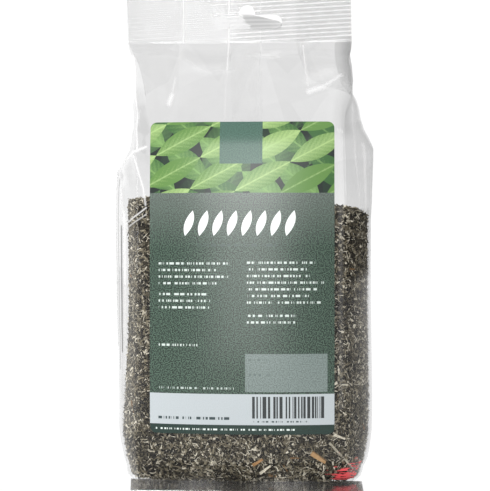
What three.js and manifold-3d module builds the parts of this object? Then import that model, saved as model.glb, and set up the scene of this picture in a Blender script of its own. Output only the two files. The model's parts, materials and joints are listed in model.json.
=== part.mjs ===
// A clear film bag of dried, cut sage that stands on its base, with a paper label on its front.
// Millimetres, +Z up. The label faces -Y. The origin is under the middle of the part.
import * as THREE from "three";
import { mergeVertices } from "three/addons/utils/BufferGeometryUtils.js";
import Module from "manifold-3d";

const wasm = await Module();
wasm.setup();

// Bag
const SEAL_WIDTH = 101;
const SEAL_BOTTOM = 197;
const SEAL_HEIGHT = 26;
const SEAL_THICKNESS = 1.5;
const RIB_PITCH = 1.92;
const RIB_DEPTH = 0.3;
const FILM = 0.8;
const HOLLOW_TOP = 188;
const FIN_FRONT = 37;
const FIN_BACK = 10;
const FIN_THICKNESS = 1;
const FIN_X = 3;
const SEAM_LEFT = -7.2;
const SEAM_RIGHT = 7.2;
const SEAM_THICKNESS = 0.5;
const SEAM_FOOT = 2;
const SEAM_STEPS = { across: 3, up: 30 };
const JOIN = 0.3;
const WELD = 1e-4;

// Hang hole in the top seal
const HOLE_X = 4;
const HOLE_WIDTH = 31.6;
const HOLE_HEIGHT = 6.4;
const HOLE_BUMP = 7.4;
const HOLE_RISE = 4.5;
const HOLE_BOTTOM = SEAL_BOTTOM + 5.8;
const HOLE_CUT = 20;
const HOLE_STEPS = 10;

// Opening that keeps the film's hollow from being sealed
const VENT_RADIUS = 1.5;
const VENT_X = -24;
const VENT_Z = 162;
const VENT_CUT = 20;
const VENT_SIDES = 16;

// Label
const LABEL_WIDTH = 80;
const LABEL_HEIGHT = 135;
const LABEL_BOTTOM = 23.5;
const LABEL_X = 0.3;
const LABEL_CORNER = 2;
const LABEL_THICKNESS = 0.6;
const LABEL_CUT = 80;
const LABEL_STEPS = { across: 12, up: 20, corner: 6 };

// Filling
const CLEARANCE = 0.4;
const RELIEF = 2;
const FILL_HEIGHT = 117;
const CROWN = [
  { rise: 2.5, part: 0.86 },
  { rise: 4, part: 0.5 },
  { rise: 4.6, part: 0.2 },
];
const HEADROOM = 12;
const FLAKES = 105;
const FLAKE = { length: [8, 14], width: [4, 7], thickness: [0.8, 1.3], taper: [0.3, 0.8] };
const STALKS = 10;
const STALK = { length: [10, 18], width: 1.5, taper: 0.8 };
const CHIP_ROLL = 0.35;
const CHIP_PITCH = 0.3;
const CHIP_LIFT = [0.1, 0.6];

// Half sizes of the bag at each height: the corner folds, the middle of a side, the front and the back,
// and how far the bag leans to one side there. The last rows narrow to the top seal, where the sides
// tuck in between front and back.
const STATIONS = [
  { z: 0, foldX: 45, foldY: 14, sideX: 49.5, front: 17, back: 16, lean: 0 },
  { z: 3, foldX: 46, foldY: 18.5, sideX: 53.5, front: 22, back: 20.5, lean: 0 },
  { z: 10, foldX: 46.2, foldY: 21.5, sideX: 56.2, front: 26.3, back: 24, lean: 0 },
  { z: 25, foldX: 46, foldY: 23.5, sideX: 58, front: 29.3, back: 26.5, lean: 0 },
  { z: 60, foldX: 45.6, foldY: 24.5, sideX: 58.6, front: 31, back: 28, lean: 0 },
  { z: 122, foldX: 45.5, foldY: 24.5, sideX: 58.7, front: 30, back: 28, lean: 0 },
  { z: 148, foldX: 45.5, foldY: 23.6, sideX: 58, front: 27.4, back: 25.8, lean: -0.6 },
  { z: 160, foldX: 46.2, foldY: 21.6, sideX: 54.5, front: 23.8, back: 23, lean: -1.3 },
  { z: 172, foldX: 47.4, foldY: 17.2, sideX: 48.2, front: 18.4, back: 18, lean: -2 },
  { z: 180, foldX: 48.2, foldY: 13, sideX: 32, front: 13.6, back: 13.4, lean: -2.4 },
  { z: 188, foldX: 49.2, foldY: 7.2, sideX: 28, front: 7.5, back: 7.4, lean: -2.7 },
  { z: SEAL_BOTTOM, foldX: 50.5, foldY: 0.7, sideX: 26, front: 0.75, back: 0.75, lean: -3 },
];
const PANEL_CURVE = 2.4;
const FRONT_STEPS = 10;
const SIDE_STEPS = 5;

// Spacing of the levels that the bag is lofted through, up to each height
const LEVELS = [
  { below: 6, step: 1.5 },
  { below: 12, step: 3 },
  { below: 30, step: 6 },
  { below: 136, step: 15 },
  { below: Infinity, step: 4.4 },
];
const LEAST_STEP = 0.5;

// Moves the part so that the origin is midway between its front and its back
const BACK = Math.max(...STATIONS.map((station) => station.back)) + SEAM_THICKNESS;
const DEPTH_SHIFT = (FIN_FRONT - BACK) / 2;

// Seeded random numbers from 0 to 1
let seed = 20415;
function random() {
  seed = (seed * 1664525 + 1013904223) % 4294967296;
  return seed / 4294967296;
}

function between(low, high) {
  return low + (high - low) * random();
}

// A smooth value between the stations, with no overshoot
function along(key, z) {
  const last = STATIONS.length - 1;
  let i = 0;
  while (i < last - 1 && z > STATIONS[i + 1].z) {
    i += 1;
  }
  const slope = (n) => (STATIONS[n + 1][key] - STATIONS[n][key]) / (STATIONS[n + 1].z - STATIONS[n].z);
  const tangent = (n) => {
    if (n === 0 || n === last) {
      return slope(Math.min(n, last - 1));
    }
    const before = slope(n - 1);
    const after = slope(n);
    return before * after <= 0 ? 0 : (2 * before * after) / (before + after);
  };
  const span = STATIONS[i + 1].z - STATIONS[i].z;
  const t = THREE.MathUtils.clamp((z - STATIONS[i].z) / span, 0, 1);
  const rise = STATIONS[i + 1][key] - STATIONS[i][key];
  const bend = t * (1 - t) * ((1 - t) * (tangent(i) * span - rise) + t * (rise - tangent(i + 1) * span));
  return STATIONS[i][key] + rise * t + bend;
}

function sizesAt(z) {
  return {
    foldX: along("foldX", z),
    foldY: along("foldY", z),
    sideX: along("sideX", z),
    front: along("front", z),
    back: along("back", z),
    lean: along("lean", z),
  };
}

// The same sizes moved inwards by a wall
function inset(sizes, wall) {
  const fold = Math.atan2(sizes.foldY, sizes.foldX - sizes.sideX);
  return {
    foldX: sizes.foldX - wall / Math.tan(fold / 2),
    foldY: sizes.foldY - wall,
    sideX: sizes.sideX - wall / Math.sin(fold),
    front: sizes.front - wall,
    back: sizes.back - wall,
    lean: sizes.lean,
  };
}

// How far a front or back panel stands out at x
function panel(sizes, middle, x) {
  const across = Math.min(1, Math.abs(x - sizes.lean) / sizes.foldX);
  return sizes.foldY + (middle - sizes.foldY) * (1 - across ** PANEL_CURVE);
}

// A closed ring at a height: the front from left to right, the right side, the back and the left side
function ring(sizes, z) {
  const points = [];
  const bulge = sizes.sideX > sizes.foldX ? 2 : 1;
  const side = (step) => {
    const across = 1 - Math.abs(step / SIDE_STEPS);
    return sizes.foldX + (sizes.sideX - sizes.foldX) * (1 - (1 - across) ** bulge);
  };
  for (let i = 0; i < FRONT_STEPS; i += 1) {
    const x = sizes.lean + sizes.foldX * ((2 * i) / FRONT_STEPS - 1);
    points.push(new THREE.Vector3(x, -panel(sizes, sizes.front, x), z));
  }
  for (let i = -SIDE_STEPS; i < SIDE_STEPS; i += 1) {
    points.push(new THREE.Vector3(sizes.lean + side(i), (sizes.foldY * i) / SIDE_STEPS, z));
  }
  for (let i = 0; i < FRONT_STEPS; i += 1) {
    const x = sizes.lean + sizes.foldX * (1 - (2 * i) / FRONT_STEPS);
    points.push(new THREE.Vector3(x, panel(sizes, sizes.back, x), z));
  }
  for (let i = SIDE_STEPS; i > -SIDE_STEPS; i -= 1) {
    points.push(new THREE.Vector3(sizes.lean - side(i), (sizes.foldY * i) / SIDE_STEPS, z));
  }
  return points;
}

function geometryOf(points, triangles) {
  const geometry = new THREE.BufferGeometry();
  geometry.setFromPoints(points);
  geometry.setIndex(triangles);
  return geometry;
}

// Rings from the bottom up, closed by a fan at each end
function loft(rings) {
  const count = rings[0].length;
  const points = rings.flat();
  const triangles = [];
  for (let r = 0; r < rings.length - 1; r += 1) {
    for (let i = 0; i < count; i += 1) {
      const a = r * count + i;
      const b = r * count + ((i + 1) % count);
      triangles.push(a, b, b + count, a, b + count, a + count);
    }
  }
  const low = points.push(new THREE.Vector3(0, 0, rings[0][0].z)) - 1;
  const high = points.push(new THREE.Vector3(0, 0, rings[rings.length - 1][0].z)) - 1;
  const top = (rings.length - 1) * count;
  for (let i = 0; i < count; i += 1) {
    const next = (i + 1) % count;
    triangles.push(low, next, i, high, top + i, top + next);
  }
  return geometryOf(points, triangles);
}

// A closed sheet between two surfaces, each given by a point for u and v from 0 to 1
function sheet(outer, inner, across, up) {
  const points = [];
  const row = across + 1;
  for (const surface of [outer, inner]) {
    for (let j = 0; j <= up; j += 1) {
      for (let i = 0; i <= across; i += 1) {
        points.push(surface(i / across, j / up));
      }
    }
  }
  const shift = row * (up + 1);
  const triangles = [];
  const quad = (a, b, c, d) => triangles.push(a, b, c, a, c, d);
  for (let j = 0; j < up; j += 1) {
    for (let i = 0; i < across; i += 1) {
      const a = j * row + i;
      quad(a, a + 1, a + row + 1, a + row);
      quad(a + shift + row, a + shift + row + 1, a + shift + 1, a + shift);
    }
    const left = j * row;
    const right = left + across;
    quad(left, left + row, left + row + shift, left + shift);
    quad(right + shift, right + row + shift, right + row, right);
  }
  for (let i = 0; i < across; i += 1) {
    const top = up * row + i;
    quad(i + shift, i + 1 + shift, i + 1, i);
    quad(top, top + 1, top + 1 + shift, top + shift);
  }
  return geometryOf(points, triangles);
}

function solid(geometry) {
  const bare = geometry.clone();
  bare.deleteAttribute("normal");
  bare.deleteAttribute("uv");
  const welded = mergeVertices(bare, WELD);
  const mesh = new wasm.Mesh({
    numProp: 3,
    vertProperties: Float32Array.from(welded.attributes.position.array),
    triVerts: Uint32Array.from(welded.index.array),
  });
  return new wasm.Manifold(mesh);
}

// The largest body of a join, without loose scraps or sealed hollows
function largest(body) {
  const bodies = body.decompose();
  bodies.sort((a, b) => b.volume() - a.volume());
  return bodies[0];
}

function meshOf(body, name, material) {
  const data = body.getMesh();
  const geometry = new THREE.BufferGeometry();
  geometry.setAttribute("position", new THREE.BufferAttribute(Float32Array.from(data.vertProperties), 3));
  geometry.setIndex(new THREE.BufferAttribute(Uint32Array.from(data.triVerts), 1));
  geometry.computeVertexNormals();
  const mesh = new THREE.Mesh(geometry, material);
  mesh.name = name;
  mesh.position.y = DEPTH_SHIFT;
  return mesh;
}

// Levels from low to high, closer together where the bag turns in
function heights(low, high) {
  const levels = [];
  let z = low;
  while (z < high - LEAST_STEP) {
    const height = z;
    levels.push(height);
    z += LEVELS.find((level) => height < level.below).step;
  }
  levels.push(high);
  return levels;
}

// Turns a shape's own axes to the given ones
function turned(geometry, x, y, z) {
  const turn = new THREE.Matrix4();
  turn.makeBasis(new THREE.Vector3(...x), new THREE.Vector3(...y), new THREE.Vector3(...z));
  return geometry.applyMatrix4(turn);
}

// A crimped strip with ribs along its width, on one face or on both
function ribbed(length, thickness, bothFaces) {
  const outline = new THREE.Shape();
  const ribs = Math.round(length / RIB_PITCH);
  const half = thickness / 2;
  outline.moveTo(-half, 0);
  for (let i = 0; i < ribs; i += 1) {
    outline.lineTo(-half - RIB_DEPTH, ((i + 0.5) * length) / ribs);
    outline.lineTo(-half, ((i + 1) * length) / ribs);
  }
  outline.lineTo(half, length);
  for (let i = ribs; i > 0 && bothFaces; i -= 1) {
    outline.lineTo(half - RIB_DEPTH, ((i - 0.5) * length) / ribs);
    outline.lineTo(half, ((i - 1) * length) / ribs);
  }
  outline.lineTo(half, 0);
  const strip = new THREE.ExtrudeGeometry(outline, { depth: SEAL_WIDTH, bevelEnabled: false });
  return strip.translate(0, 0, -SEAL_WIDTH / 2);
}

function hangHole() {
  const outline = new THREE.Shape();
  const round = HOLE_HEIGHT / 2;
  const wing = HOLE_WIDTH / 2 - round;
  outline.moveTo(-wing, 0);
  outline.lineTo(wing, 0);
  outline.absarc(wing, round, round, -Math.PI / 2, Math.PI / 2, false);
  outline.absellipse(0, HOLE_HEIGHT, HOLE_BUMP / 2, HOLE_RISE, 0, Math.PI, false);
  outline.absarc(-wing, round, round, Math.PI / 2, (3 * Math.PI) / 2, false);
  const cut = { depth: HOLE_CUT, bevelEnabled: false, curveSegments: HOLE_STEPS };
  const cutter = new THREE.ExtrudeGeometry(outline, cut);
  cutter.translate(0, 0, -HOLE_CUT / 2);
  turned(cutter, [1, 0, 0], [0, 0, 1], [0, -1, 0]);
  return cutter.translate(sizesAt(SEAL_BOTTOM).lean + HOLE_X, 0, HOLE_BOTTOM);
}

// Film bag
const shell = loft(heights(0, SEAL_BOTTOM).map((z) => ring(sizesAt(z), z)));
const hollow = loft(heights(FILM, HOLLOW_TOP).map((z) => ring(inset(sizesAt(z), FILM), z)));
const seal = turned(ribbed(SEAL_HEIGHT, SEAL_THICKNESS, true), [0, 1, 0], [0, 0, 1], [1, 0, 0]);
seal.translate(sizesAt(SEAL_BOTTOM).lean, 0, SEAL_BOTTOM - JOIN);
const fin = turned(ribbed(FIN_FRONT - FIN_BACK, FIN_THICKNESS, false), [0, 0, -1], [0, -1, 0], [-1, 0, 0]);
fin.translate(FIN_X, -FIN_BACK, FIN_THICKNESS / 2);

function seamAt(lift) {
  return (u, v) => {
    const x = SEAM_RIGHT + (SEAM_LEFT - SEAM_RIGHT) * u;
    const z = SEAM_FOOT + (SEAL_BOTTOM - JOIN - SEAM_FOOT) * v;
    const sizes = sizesAt(z);
    return new THREE.Vector3(x, panel(sizes, sizes.back, x) + lift, z);
  };
}
const seam = sheet(seamAt(SEAM_THICKNESS), seamAt(-JOIN), SEAM_STEPS.across, SEAM_STEPS.up);

const vent = new THREE.CylinderGeometry(VENT_RADIUS, VENT_RADIUS, VENT_CUT, VENT_SIDES);
vent.translate(VENT_X, sizesAt(VENT_Z).back, VENT_Z);

const film = solid(shell)
  .add(solid(seal))
  .add(solid(fin))
  .add(solid(seam))
  .subtract(solid(hollow))
  .subtract(solid(hangHole()))
  .subtract(solid(vent));

// Label, bent to the front of the bag
function labelAt(lift) {
  return (u, v) => {
    const x = LABEL_X + LABEL_WIDTH * (u - 0.5);
    const z = LABEL_BOTTOM + LABEL_HEIGHT * v;
    const sizes = sizesAt(z);
    return new THREE.Vector3(x, -panel(sizes, sizes.front, x) - lift, z);
  };
}
const corners = new THREE.Shape();
const left = LABEL_X - LABEL_WIDTH / 2 + LABEL_CORNER;
const right = LABEL_X + LABEL_WIDTH / 2 - LABEL_CORNER;
const low = LABEL_BOTTOM + LABEL_CORNER;
const high = LABEL_BOTTOM + LABEL_HEIGHT - LABEL_CORNER;
corners.absarc(right, low, LABEL_CORNER, -Math.PI / 2, 0, false);
corners.absarc(right, high, LABEL_CORNER, 0, Math.PI / 2, false);
corners.absarc(left, high, LABEL_CORNER, Math.PI / 2, Math.PI, false);
corners.absarc(left, low, LABEL_CORNER, Math.PI, (3 * Math.PI) / 2, false);
const cutting = { depth: LABEL_CUT, bevelEnabled: false, curveSegments: LABEL_STEPS.corner };
const blank = new THREE.ExtrudeGeometry(corners, cutting);
turned(blank, [1, 0, 0], [0, 0, 1], [0, -1, 0]);
const faces = [labelAt(CLEARANCE + LABEL_THICKNESS), labelAt(CLEARANCE)];
const bent = sheet(...faces, LABEL_STEPS.across, LABEL_STEPS.up);
const label = solid(bent).intersect(solid(blank));

// Filling: a heap inside the bag with cut leaf and stalk chips pressed into its surface
const spread = new THREE.Vector3();
function heapRing(z, part) {
  const points = ring(inset(sizesAt(Math.min(z, FILL_HEIGHT)), FILM + CLEARANCE + RELIEF), z);
  return points.map((point) => point.multiply(spread.set(part, part, 1)));
}
const heapHeights = heights(FILM + CLEARANCE + RELIEF, FILL_HEIGHT);
const heapRings = heapHeights.map((z) => heapRing(z, 1));
for (const { rise, part } of CROWN) {
  heapRings.push(heapRing(FILL_HEIGHT + rise, part));
}
const heap = solid(loft(heapRings));

const room = heights(FILM + CLEARANCE, FILL_HEIGHT + HEADROOM);
const envelope = solid(loft(room.map((z) => ring(inset(sizesAt(z), FILM + CLEARANCE), z))));

// A place on the heap with its outward direction
function place() {
  const r = Math.floor(random() * (heapRings.length - 1));
  const i = Math.floor(random() * heapRings[0].length);
  const next = (i + 1) % heapRings[0].length;
  const a = heapRings[r][i];
  const across = heapRings[r][next].clone().sub(a);
  const up = heapRings[r + 1][i].clone().sub(a);
  const spot = a.clone().addScaledVector(across, random()).addScaledVector(up, random());
  return { spot, out: across.cross(up).normalize() };
}

// A chip laid on the heap: a tapered block, turned at random and tilted out of the surface
function chip(length, width, thickness, taper) {
  const block = new THREE.BoxGeometry(length, width, thickness);
  const corner = block.attributes.position;
  for (let i = 0; i < corner.count; i += 1) {
    const narrow = corner.getX(i) > 0 ? taper : 1;
    corner.setY(i, corner.getY(i) * narrow);
  }
  const { spot, out } = place();
  const lie = new THREE.Quaternion().setFromUnitVectors(new THREE.Vector3(0, 0, 1), out);
  const spin = new THREE.Quaternion().setFromEuler(
    new THREE.Euler(
      between(-CHIP_ROLL, CHIP_ROLL),
      between(-CHIP_PITCH, CHIP_PITCH),
      between(0, 2 * Math.PI),
      "ZXY",
    ),
  );
  block.applyQuaternion(lie.multiply(spin));
  spot.addScaledVector(out, between(...CHIP_LIFT));
  block.translate(spot.x, spot.y, spot.z);
  return solid(block);
}

const chips = [heap];
for (let i = 0; i < FLAKES; i += 1) {
  const size = [FLAKE.length, FLAKE.width, FLAKE.thickness, FLAKE.taper].map((range) => between(...range));
  chips.push(chip(...size));
}
for (let i = 0; i < STALKS; i += 1) {
  chips.push(chip(between(...STALK.length), STALK.width, STALK.width, STALK.taper));
}
const filling = largest(wasm.Manifold.union(chips).intersect(envelope));

const filmMaterial = new THREE.MeshStandardMaterial({ color: 0xe8ecec, roughness: 0.15 });
filmMaterial.transparent = true;
filmMaterial.opacity = 0.25;
const sageMaterial = new THREE.MeshStandardMaterial({ color: 0x77715f, roughness: 0.9 });
const paperMaterial = new THREE.MeshStandardMaterial({ color: 0x6b7b6f, roughness: 0.5 });

const bag = new THREE.Group();
bag.add(meshOf(film, "bag_film", filmMaterial));
bag.add(meshOf(filling, "dried_sage", sageMaterial));
bag.add(meshOf(label, "front_label", paperMaterial));

export default bag;
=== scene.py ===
# %% [markdown]
# # A clear film bag of dried sage
#
# The bag is one tube of clear plastic film with its sides folded in, welded shut at the top and the
# bottom by ribbed jaws. Dried, cut sage fills its lower half, and a paper label is stuck on the front.
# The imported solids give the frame. This lesson dresses them: fine film with its folds, loose leaf
# behind it, a printed label, and soft light that lets clear film be seen on a pale ground.

# %% Load the frame
import json
import math

import bpy
import numpy as np
from mathutils import Matrix, Vector

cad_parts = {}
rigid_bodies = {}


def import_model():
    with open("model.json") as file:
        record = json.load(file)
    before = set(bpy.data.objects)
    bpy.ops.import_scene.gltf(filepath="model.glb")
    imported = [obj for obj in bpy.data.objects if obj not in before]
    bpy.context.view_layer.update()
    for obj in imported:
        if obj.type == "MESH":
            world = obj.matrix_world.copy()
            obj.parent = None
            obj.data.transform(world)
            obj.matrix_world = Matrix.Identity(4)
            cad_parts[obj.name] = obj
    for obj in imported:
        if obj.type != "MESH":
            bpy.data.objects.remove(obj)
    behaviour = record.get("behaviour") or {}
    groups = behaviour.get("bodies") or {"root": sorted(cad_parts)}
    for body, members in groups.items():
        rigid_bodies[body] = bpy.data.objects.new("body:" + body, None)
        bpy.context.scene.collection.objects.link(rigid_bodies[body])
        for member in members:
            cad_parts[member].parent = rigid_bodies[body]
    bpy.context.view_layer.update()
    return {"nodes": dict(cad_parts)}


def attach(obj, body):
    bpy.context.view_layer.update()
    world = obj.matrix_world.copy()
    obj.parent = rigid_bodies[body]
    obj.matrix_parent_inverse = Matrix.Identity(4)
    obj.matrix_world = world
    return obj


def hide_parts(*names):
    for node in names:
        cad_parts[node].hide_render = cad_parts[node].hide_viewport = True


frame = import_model()
MM = 0.001
BODY = "root"
print("nodes", sorted(frame["nodes"]))

# %% [markdown]
# ## Small helpers
#
# Colours are picked on a screen, so they are sRGB hex values, and one function turns them to the
# linear numbers that shaders work in. One function adds a node of any kind, with its settings and
# links. A grid primitive is the start of every sheet of film or paper: its points are then moved to
# their places, as a sculptor moves them, and the grid's own UV map goes with them.


# %% Helpers
def linear(hex_colour):
    channels = [int(hex_colour[i:i + 2], 16) / 255 for i in (1, 3, 5)]
    bright = [c / 12.92 if c <= 0.04045 else ((c + 0.055) / 1.055) ** 2.4 for c in channels]
    return (*bright, 1.0)


def add(tree, kind, settings=None, links=None, **values):
    node = tree.nodes.new(kind)
    for name, value in (settings or {}).items():
        setattr(node, name, value)
    for name, value in values.items():
        node.inputs[name.replace("_", " ")].default_value = value
    for key, value in (links or {}).items():
        if isinstance(value, bpy.types.NodeSocket):
            tree.links.new(value, node.inputs[key])
        else:
            node.inputs[key].default_value = value
    return node


def material(name):
    made = bpy.data.materials.new(name)
    made.use_nodes = True
    made.node_tree.nodes.clear()
    return made, made.node_tree


def only(obj):
    bpy.ops.object.select_all(action="DESELECT")
    obj.select_set(True)
    bpy.context.view_layer.objects.active = obj


def finish_with(obj, kind, **settings):
    only(obj)
    modifier = obj.modifiers.new(kind.title(), kind)
    for name, value in settings.items():
        setattr(modifier, name, value)
    bpy.ops.object.modifier_apply(modifier=modifier.name)


def sheet(name, across, up, place):
    """A grid whose points, given as u and v from 0 to 1, are moved by place to millimetres."""
    bpy.ops.object.select_all(action="DESELECT")
    bpy.ops.mesh.primitive_grid_add(x_subdivisions=across, y_subdivisions=up, size=1, calc_uvs=True)
    obj = bpy.context.object
    obj.name = name
    points = np.empty(len(obj.data.vertices) * 3)
    obj.data.vertices.foreach_get("co", points)
    points = points.reshape(-1, 3)
    moved = np.stack(place(points[:, 0] + 0.5, points[:, 1] + 0.5), axis=1) * MM
    obj.data.vertices.foreach_set("co", moved.ravel())
    obj.data.update()
    return obj


def dress(obj, finish, node=None):
    obj.data.materials.clear()
    obj.data.materials.append(finish)
    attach(obj, BODY)
    if node:
        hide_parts(node)
    print(obj.name, len(obj.data.polygons), "faces")


# %% [markdown]
# ## The shape of the bag
#
# A filled bag is lofted, like a ship's hull, through a few stations. Each row gives a height and the
# half sizes there, in millimetres: the corner folds, the middle of a side, the front, the back, and
# how far the bag leans. In the last rows the sides tuck in between front and back, which is how a
# side-folded bag closes to a flat seal. A point on the film is named by how far round it lies.

# %% Stations and surface
SEAL_BOTTOM = 197
SEAL_TOP = 222.8
STATIONS = np.array([
    # height, fold x, fold y, side x, front, back, lean
    (0, 45, 14, 49.5, 17, 16, 0),
    (3, 46, 18.5, 53.5, 22, 20.5, 0),
    (10, 46.2, 21.5, 56.2, 26.3, 24, 0),
    (25, 46, 23.5, 58, 29.3, 26.5, 0),
    (60, 45.6, 24.5, 58.6, 31, 28, 0),
    (122, 45.5, 24.5, 58.7, 30, 28, 0),
    (148, 45.5, 23.6, 58, 27.4, 25.8, -0.6),
    (160, 46.2, 21.6, 54.5, 23.8, 23, -1.3),
    (172, 47.4, 17.2, 48.2, 18.4, 18, -2),
    (180, 48.2, 13, 32, 13.6, 13.4, -2.4),
    (188, 49.2, 7.2, 28, 7.5, 7.4, -2.7),
    (SEAL_BOTTOM, 50.5, 0.35, 26, 0.4, 0.4, -3),
    (SEAL_TOP, 50.5, 0.35, 26, 0.4, 0.4, -3),
])
PANEL_CURVE = 2.4
FRONT_FLAT = 101
SIDE_FLAT = 49
ROUND = 2 * (FRONT_FLAT + SIDE_FLAT)
DEPTH_SHIFT = 4.25


def along(column, z):
    """A smooth value between the stations, with no overshoot."""
    heights = STATIONS[:, 0]
    values = STATIONS[:, column]
    span = np.diff(heights)
    slope = np.diff(values) / span
    product = slope[:-1] * slope[1:]
    total = np.where(product > 0, slope[:-1] + slope[1:], 1)
    inner = np.where(product > 0, 2 * product / total, 0)
    tangent = np.concatenate(([slope[0]], inner, [slope[-1]]))
    i = np.clip(np.searchsorted(heights, z) - 1, 0, len(span) - 1)
    t = np.clip((z - heights[i]) / span[i], 0, 1)
    rise = values[i + 1] - values[i]
    bend = (1 - t) * (tangent[i] * span[i] - rise) + t * (rise - tangent[i + 1] * span[i])
    return values[i] + rise * t + t * (1 - t) * bend


def panel_depth(x, z, middle, wall=0):
    """How far the front or back panel stands out at x."""
    fold_x, fold_y, lean = along(1, z), along(2, z), along(6, z)
    across = np.clip(np.abs(x - lean) / fold_x, 0, 1)
    return fold_y + (along(middle, z) - fold_y) * (1 - across ** PANEL_CURVE) - wall


def bag_at(round_mm, z, wall=0):
    """x and y on the film, round_mm from the left front fold, moved inwards by a wall."""
    fold_x, fold_y, side_x = along(1, z), along(2, z), along(3, z)
    lean = along(6, z)
    fold = np.arctan2(fold_y, fold_x - side_x)
    side_x = side_x - wall / np.sin(fold)
    fold_x = fold_x - wall / np.tan(fold / 2)
    front, back = along(4, z) - wall, along(5, z) - wall
    fold_y = fold_y - wall
    place = np.mod(round_mm, ROUND)
    half = FRONT_FLAT + SIDE_FLAT
    behind = place >= half
    place = np.where(behind, place - half, place)
    on_side = place >= FRONT_FLAT
    across = np.where(on_side, (place - FRONT_FLAT) / SIDE_FLAT, place / FRONT_FLAT) * 2 - 1
    bulge = np.where(side_x > fold_x, 2, 1)
    middle = np.where(behind, back, front)
    panel_x = across * fold_x
    panel_y = -(fold_y + (middle - fold_y) * (1 - np.abs(across) ** PANEL_CURVE))
    wall_x = fold_x + (side_x - fold_x) * (1 - np.abs(across) ** bulge)
    x = np.where(on_side, wall_x, panel_x)
    y = np.where(on_side, across * fold_y, panel_y)
    turn = np.where(behind, -1, 1)
    return lean + turn * x, turn * y


# Height, then how far the left and the right side stand to the right of the even loft there
SIDES = np.array([
    (0, -1.8, 1), (3, 0.2, -0.6), (6, 1.4, -1.5), (10, 1.3, -0.7), (22, 0.9, -0.6), (35, 1.3, -0.8),
    (58, 1.4, -1.4), (80, 1, -1.8), (116, 0.5, -1.7), (130, 0.5, -0.9), (139, 1.6, -0.1), (143, 4.2, 0.4),
    (148, 7, 0.8), (152, 7, 0), (157, 6.2, -0.6), (162, 4.7, 0), (166, 2.7, 1.4), (170, 1.7, 2.7),
    (177, 1.9, 3.2), (184, 2.2, 2.3), (190, 1.8, 0.9), (197, 0.3, 1), (SEAL_TOP, -0.8, 0.6),
])
SIDE_REACH = 13


def pressed(x, z):
    """x moved where the bag's sides are pushed in or out."""
    left = np.interp(z, SIDES[:, 0], SIDES[:, 1])
    right = np.interp(z, SIDES[:, 0], SIDES[:, 2])
    from_middle = x - along(6, z)
    reach = np.maximum(along(1, z), along(3, z))
    part = np.clip(1 - (reach - np.abs(from_middle)) / SIDE_REACH, 0, 1)
    part = part * part * (3 - 2 * part)
    return x + np.where(from_middle < 0, left, right) * part


print("bag is", ROUND, "mm round and", SEAL_TOP, "mm high")

# %% [markdown]
# ## Camera
#
# The camera stands level with the middle of the bag and a little to its right, close enough that the
# seal at the top looks smaller than the label in front of it. A long lens is worked out from the
# millimetres that one pixel covers on the label.

# %% Camera
IMAGE_WIDTH = 490
MM_PER_PIXEL = 0.4295
CAMERA_DISTANCE = 550
CAMERA_TURN = math.radians(3.5)
AIM = Vector((2.0, -27, 104.8)) * MM

camera_data = bpy.data.cameras.new("camera")
camera_data.sensor_width = 36
camera_data.lens = 36 * CAMERA_DISTANCE / (IMAGE_WIDTH * MM_PER_PIXEL)
camera = bpy.data.objects.new("camera", camera_data)
bpy.context.collection.objects.link(camera)
away = Vector((math.sin(CAMERA_TURN), -math.cos(CAMERA_TURN), 0))
camera.location = AIM + away * CAMERA_DISTANCE * MM
camera.rotation_euler = (AIM - camera.location).to_track_quat("-Z", "Y").to_euler()
bpy.context.scene.camera = camera
print("lens", round(camera_data.lens, 1), "mm")

# %% [markdown]
# ## Creases
#
# Film doesn't stretch, so slack film breaks into flat facets that meet in sharp lines. Two things make
# them here. Zigzag waves of random direction are added up: a sum of zigzags is made of flat planes, so
# it gives small facets all over the empty top of the bag. The large folds are then laid along listed
# lines, and a dent is pressed in under the seal. All are given by the distance round the film and the
# height, and they fade out under the label, in the seals and where the filling holds the film tight.

# %% Creases
LABEL_X = 0.3
LABEL_WIDTH = 80
LABEL_BOTTOM = 23.5
LABEL_HEIGHT = 135
rng = np.random.default_rng(7)


def smooth(low, high, value):
    t = np.clip((value - low) / (high - low), 0, 1)
    return t * t * (3 - 2 * t)


def waves(count, shortest, longest):
    length = rng.uniform(shortest, longest, count)
    heading = rng.uniform(0, np.pi, count)
    shift = rng.uniform(0, 2 * np.pi, count)
    return np.stack((np.cos(heading), np.sin(heading))) * 2 * np.pi / length, shift


def facets(round_mm, z, field):
    (across, up), shift = field
    total = sum(np.arcsin(np.sin(a * round_mm + b * z + c)) for a, b, c in zip(across, up, shift))
    return np.abs(total) / math.sqrt(len(shift))


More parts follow.
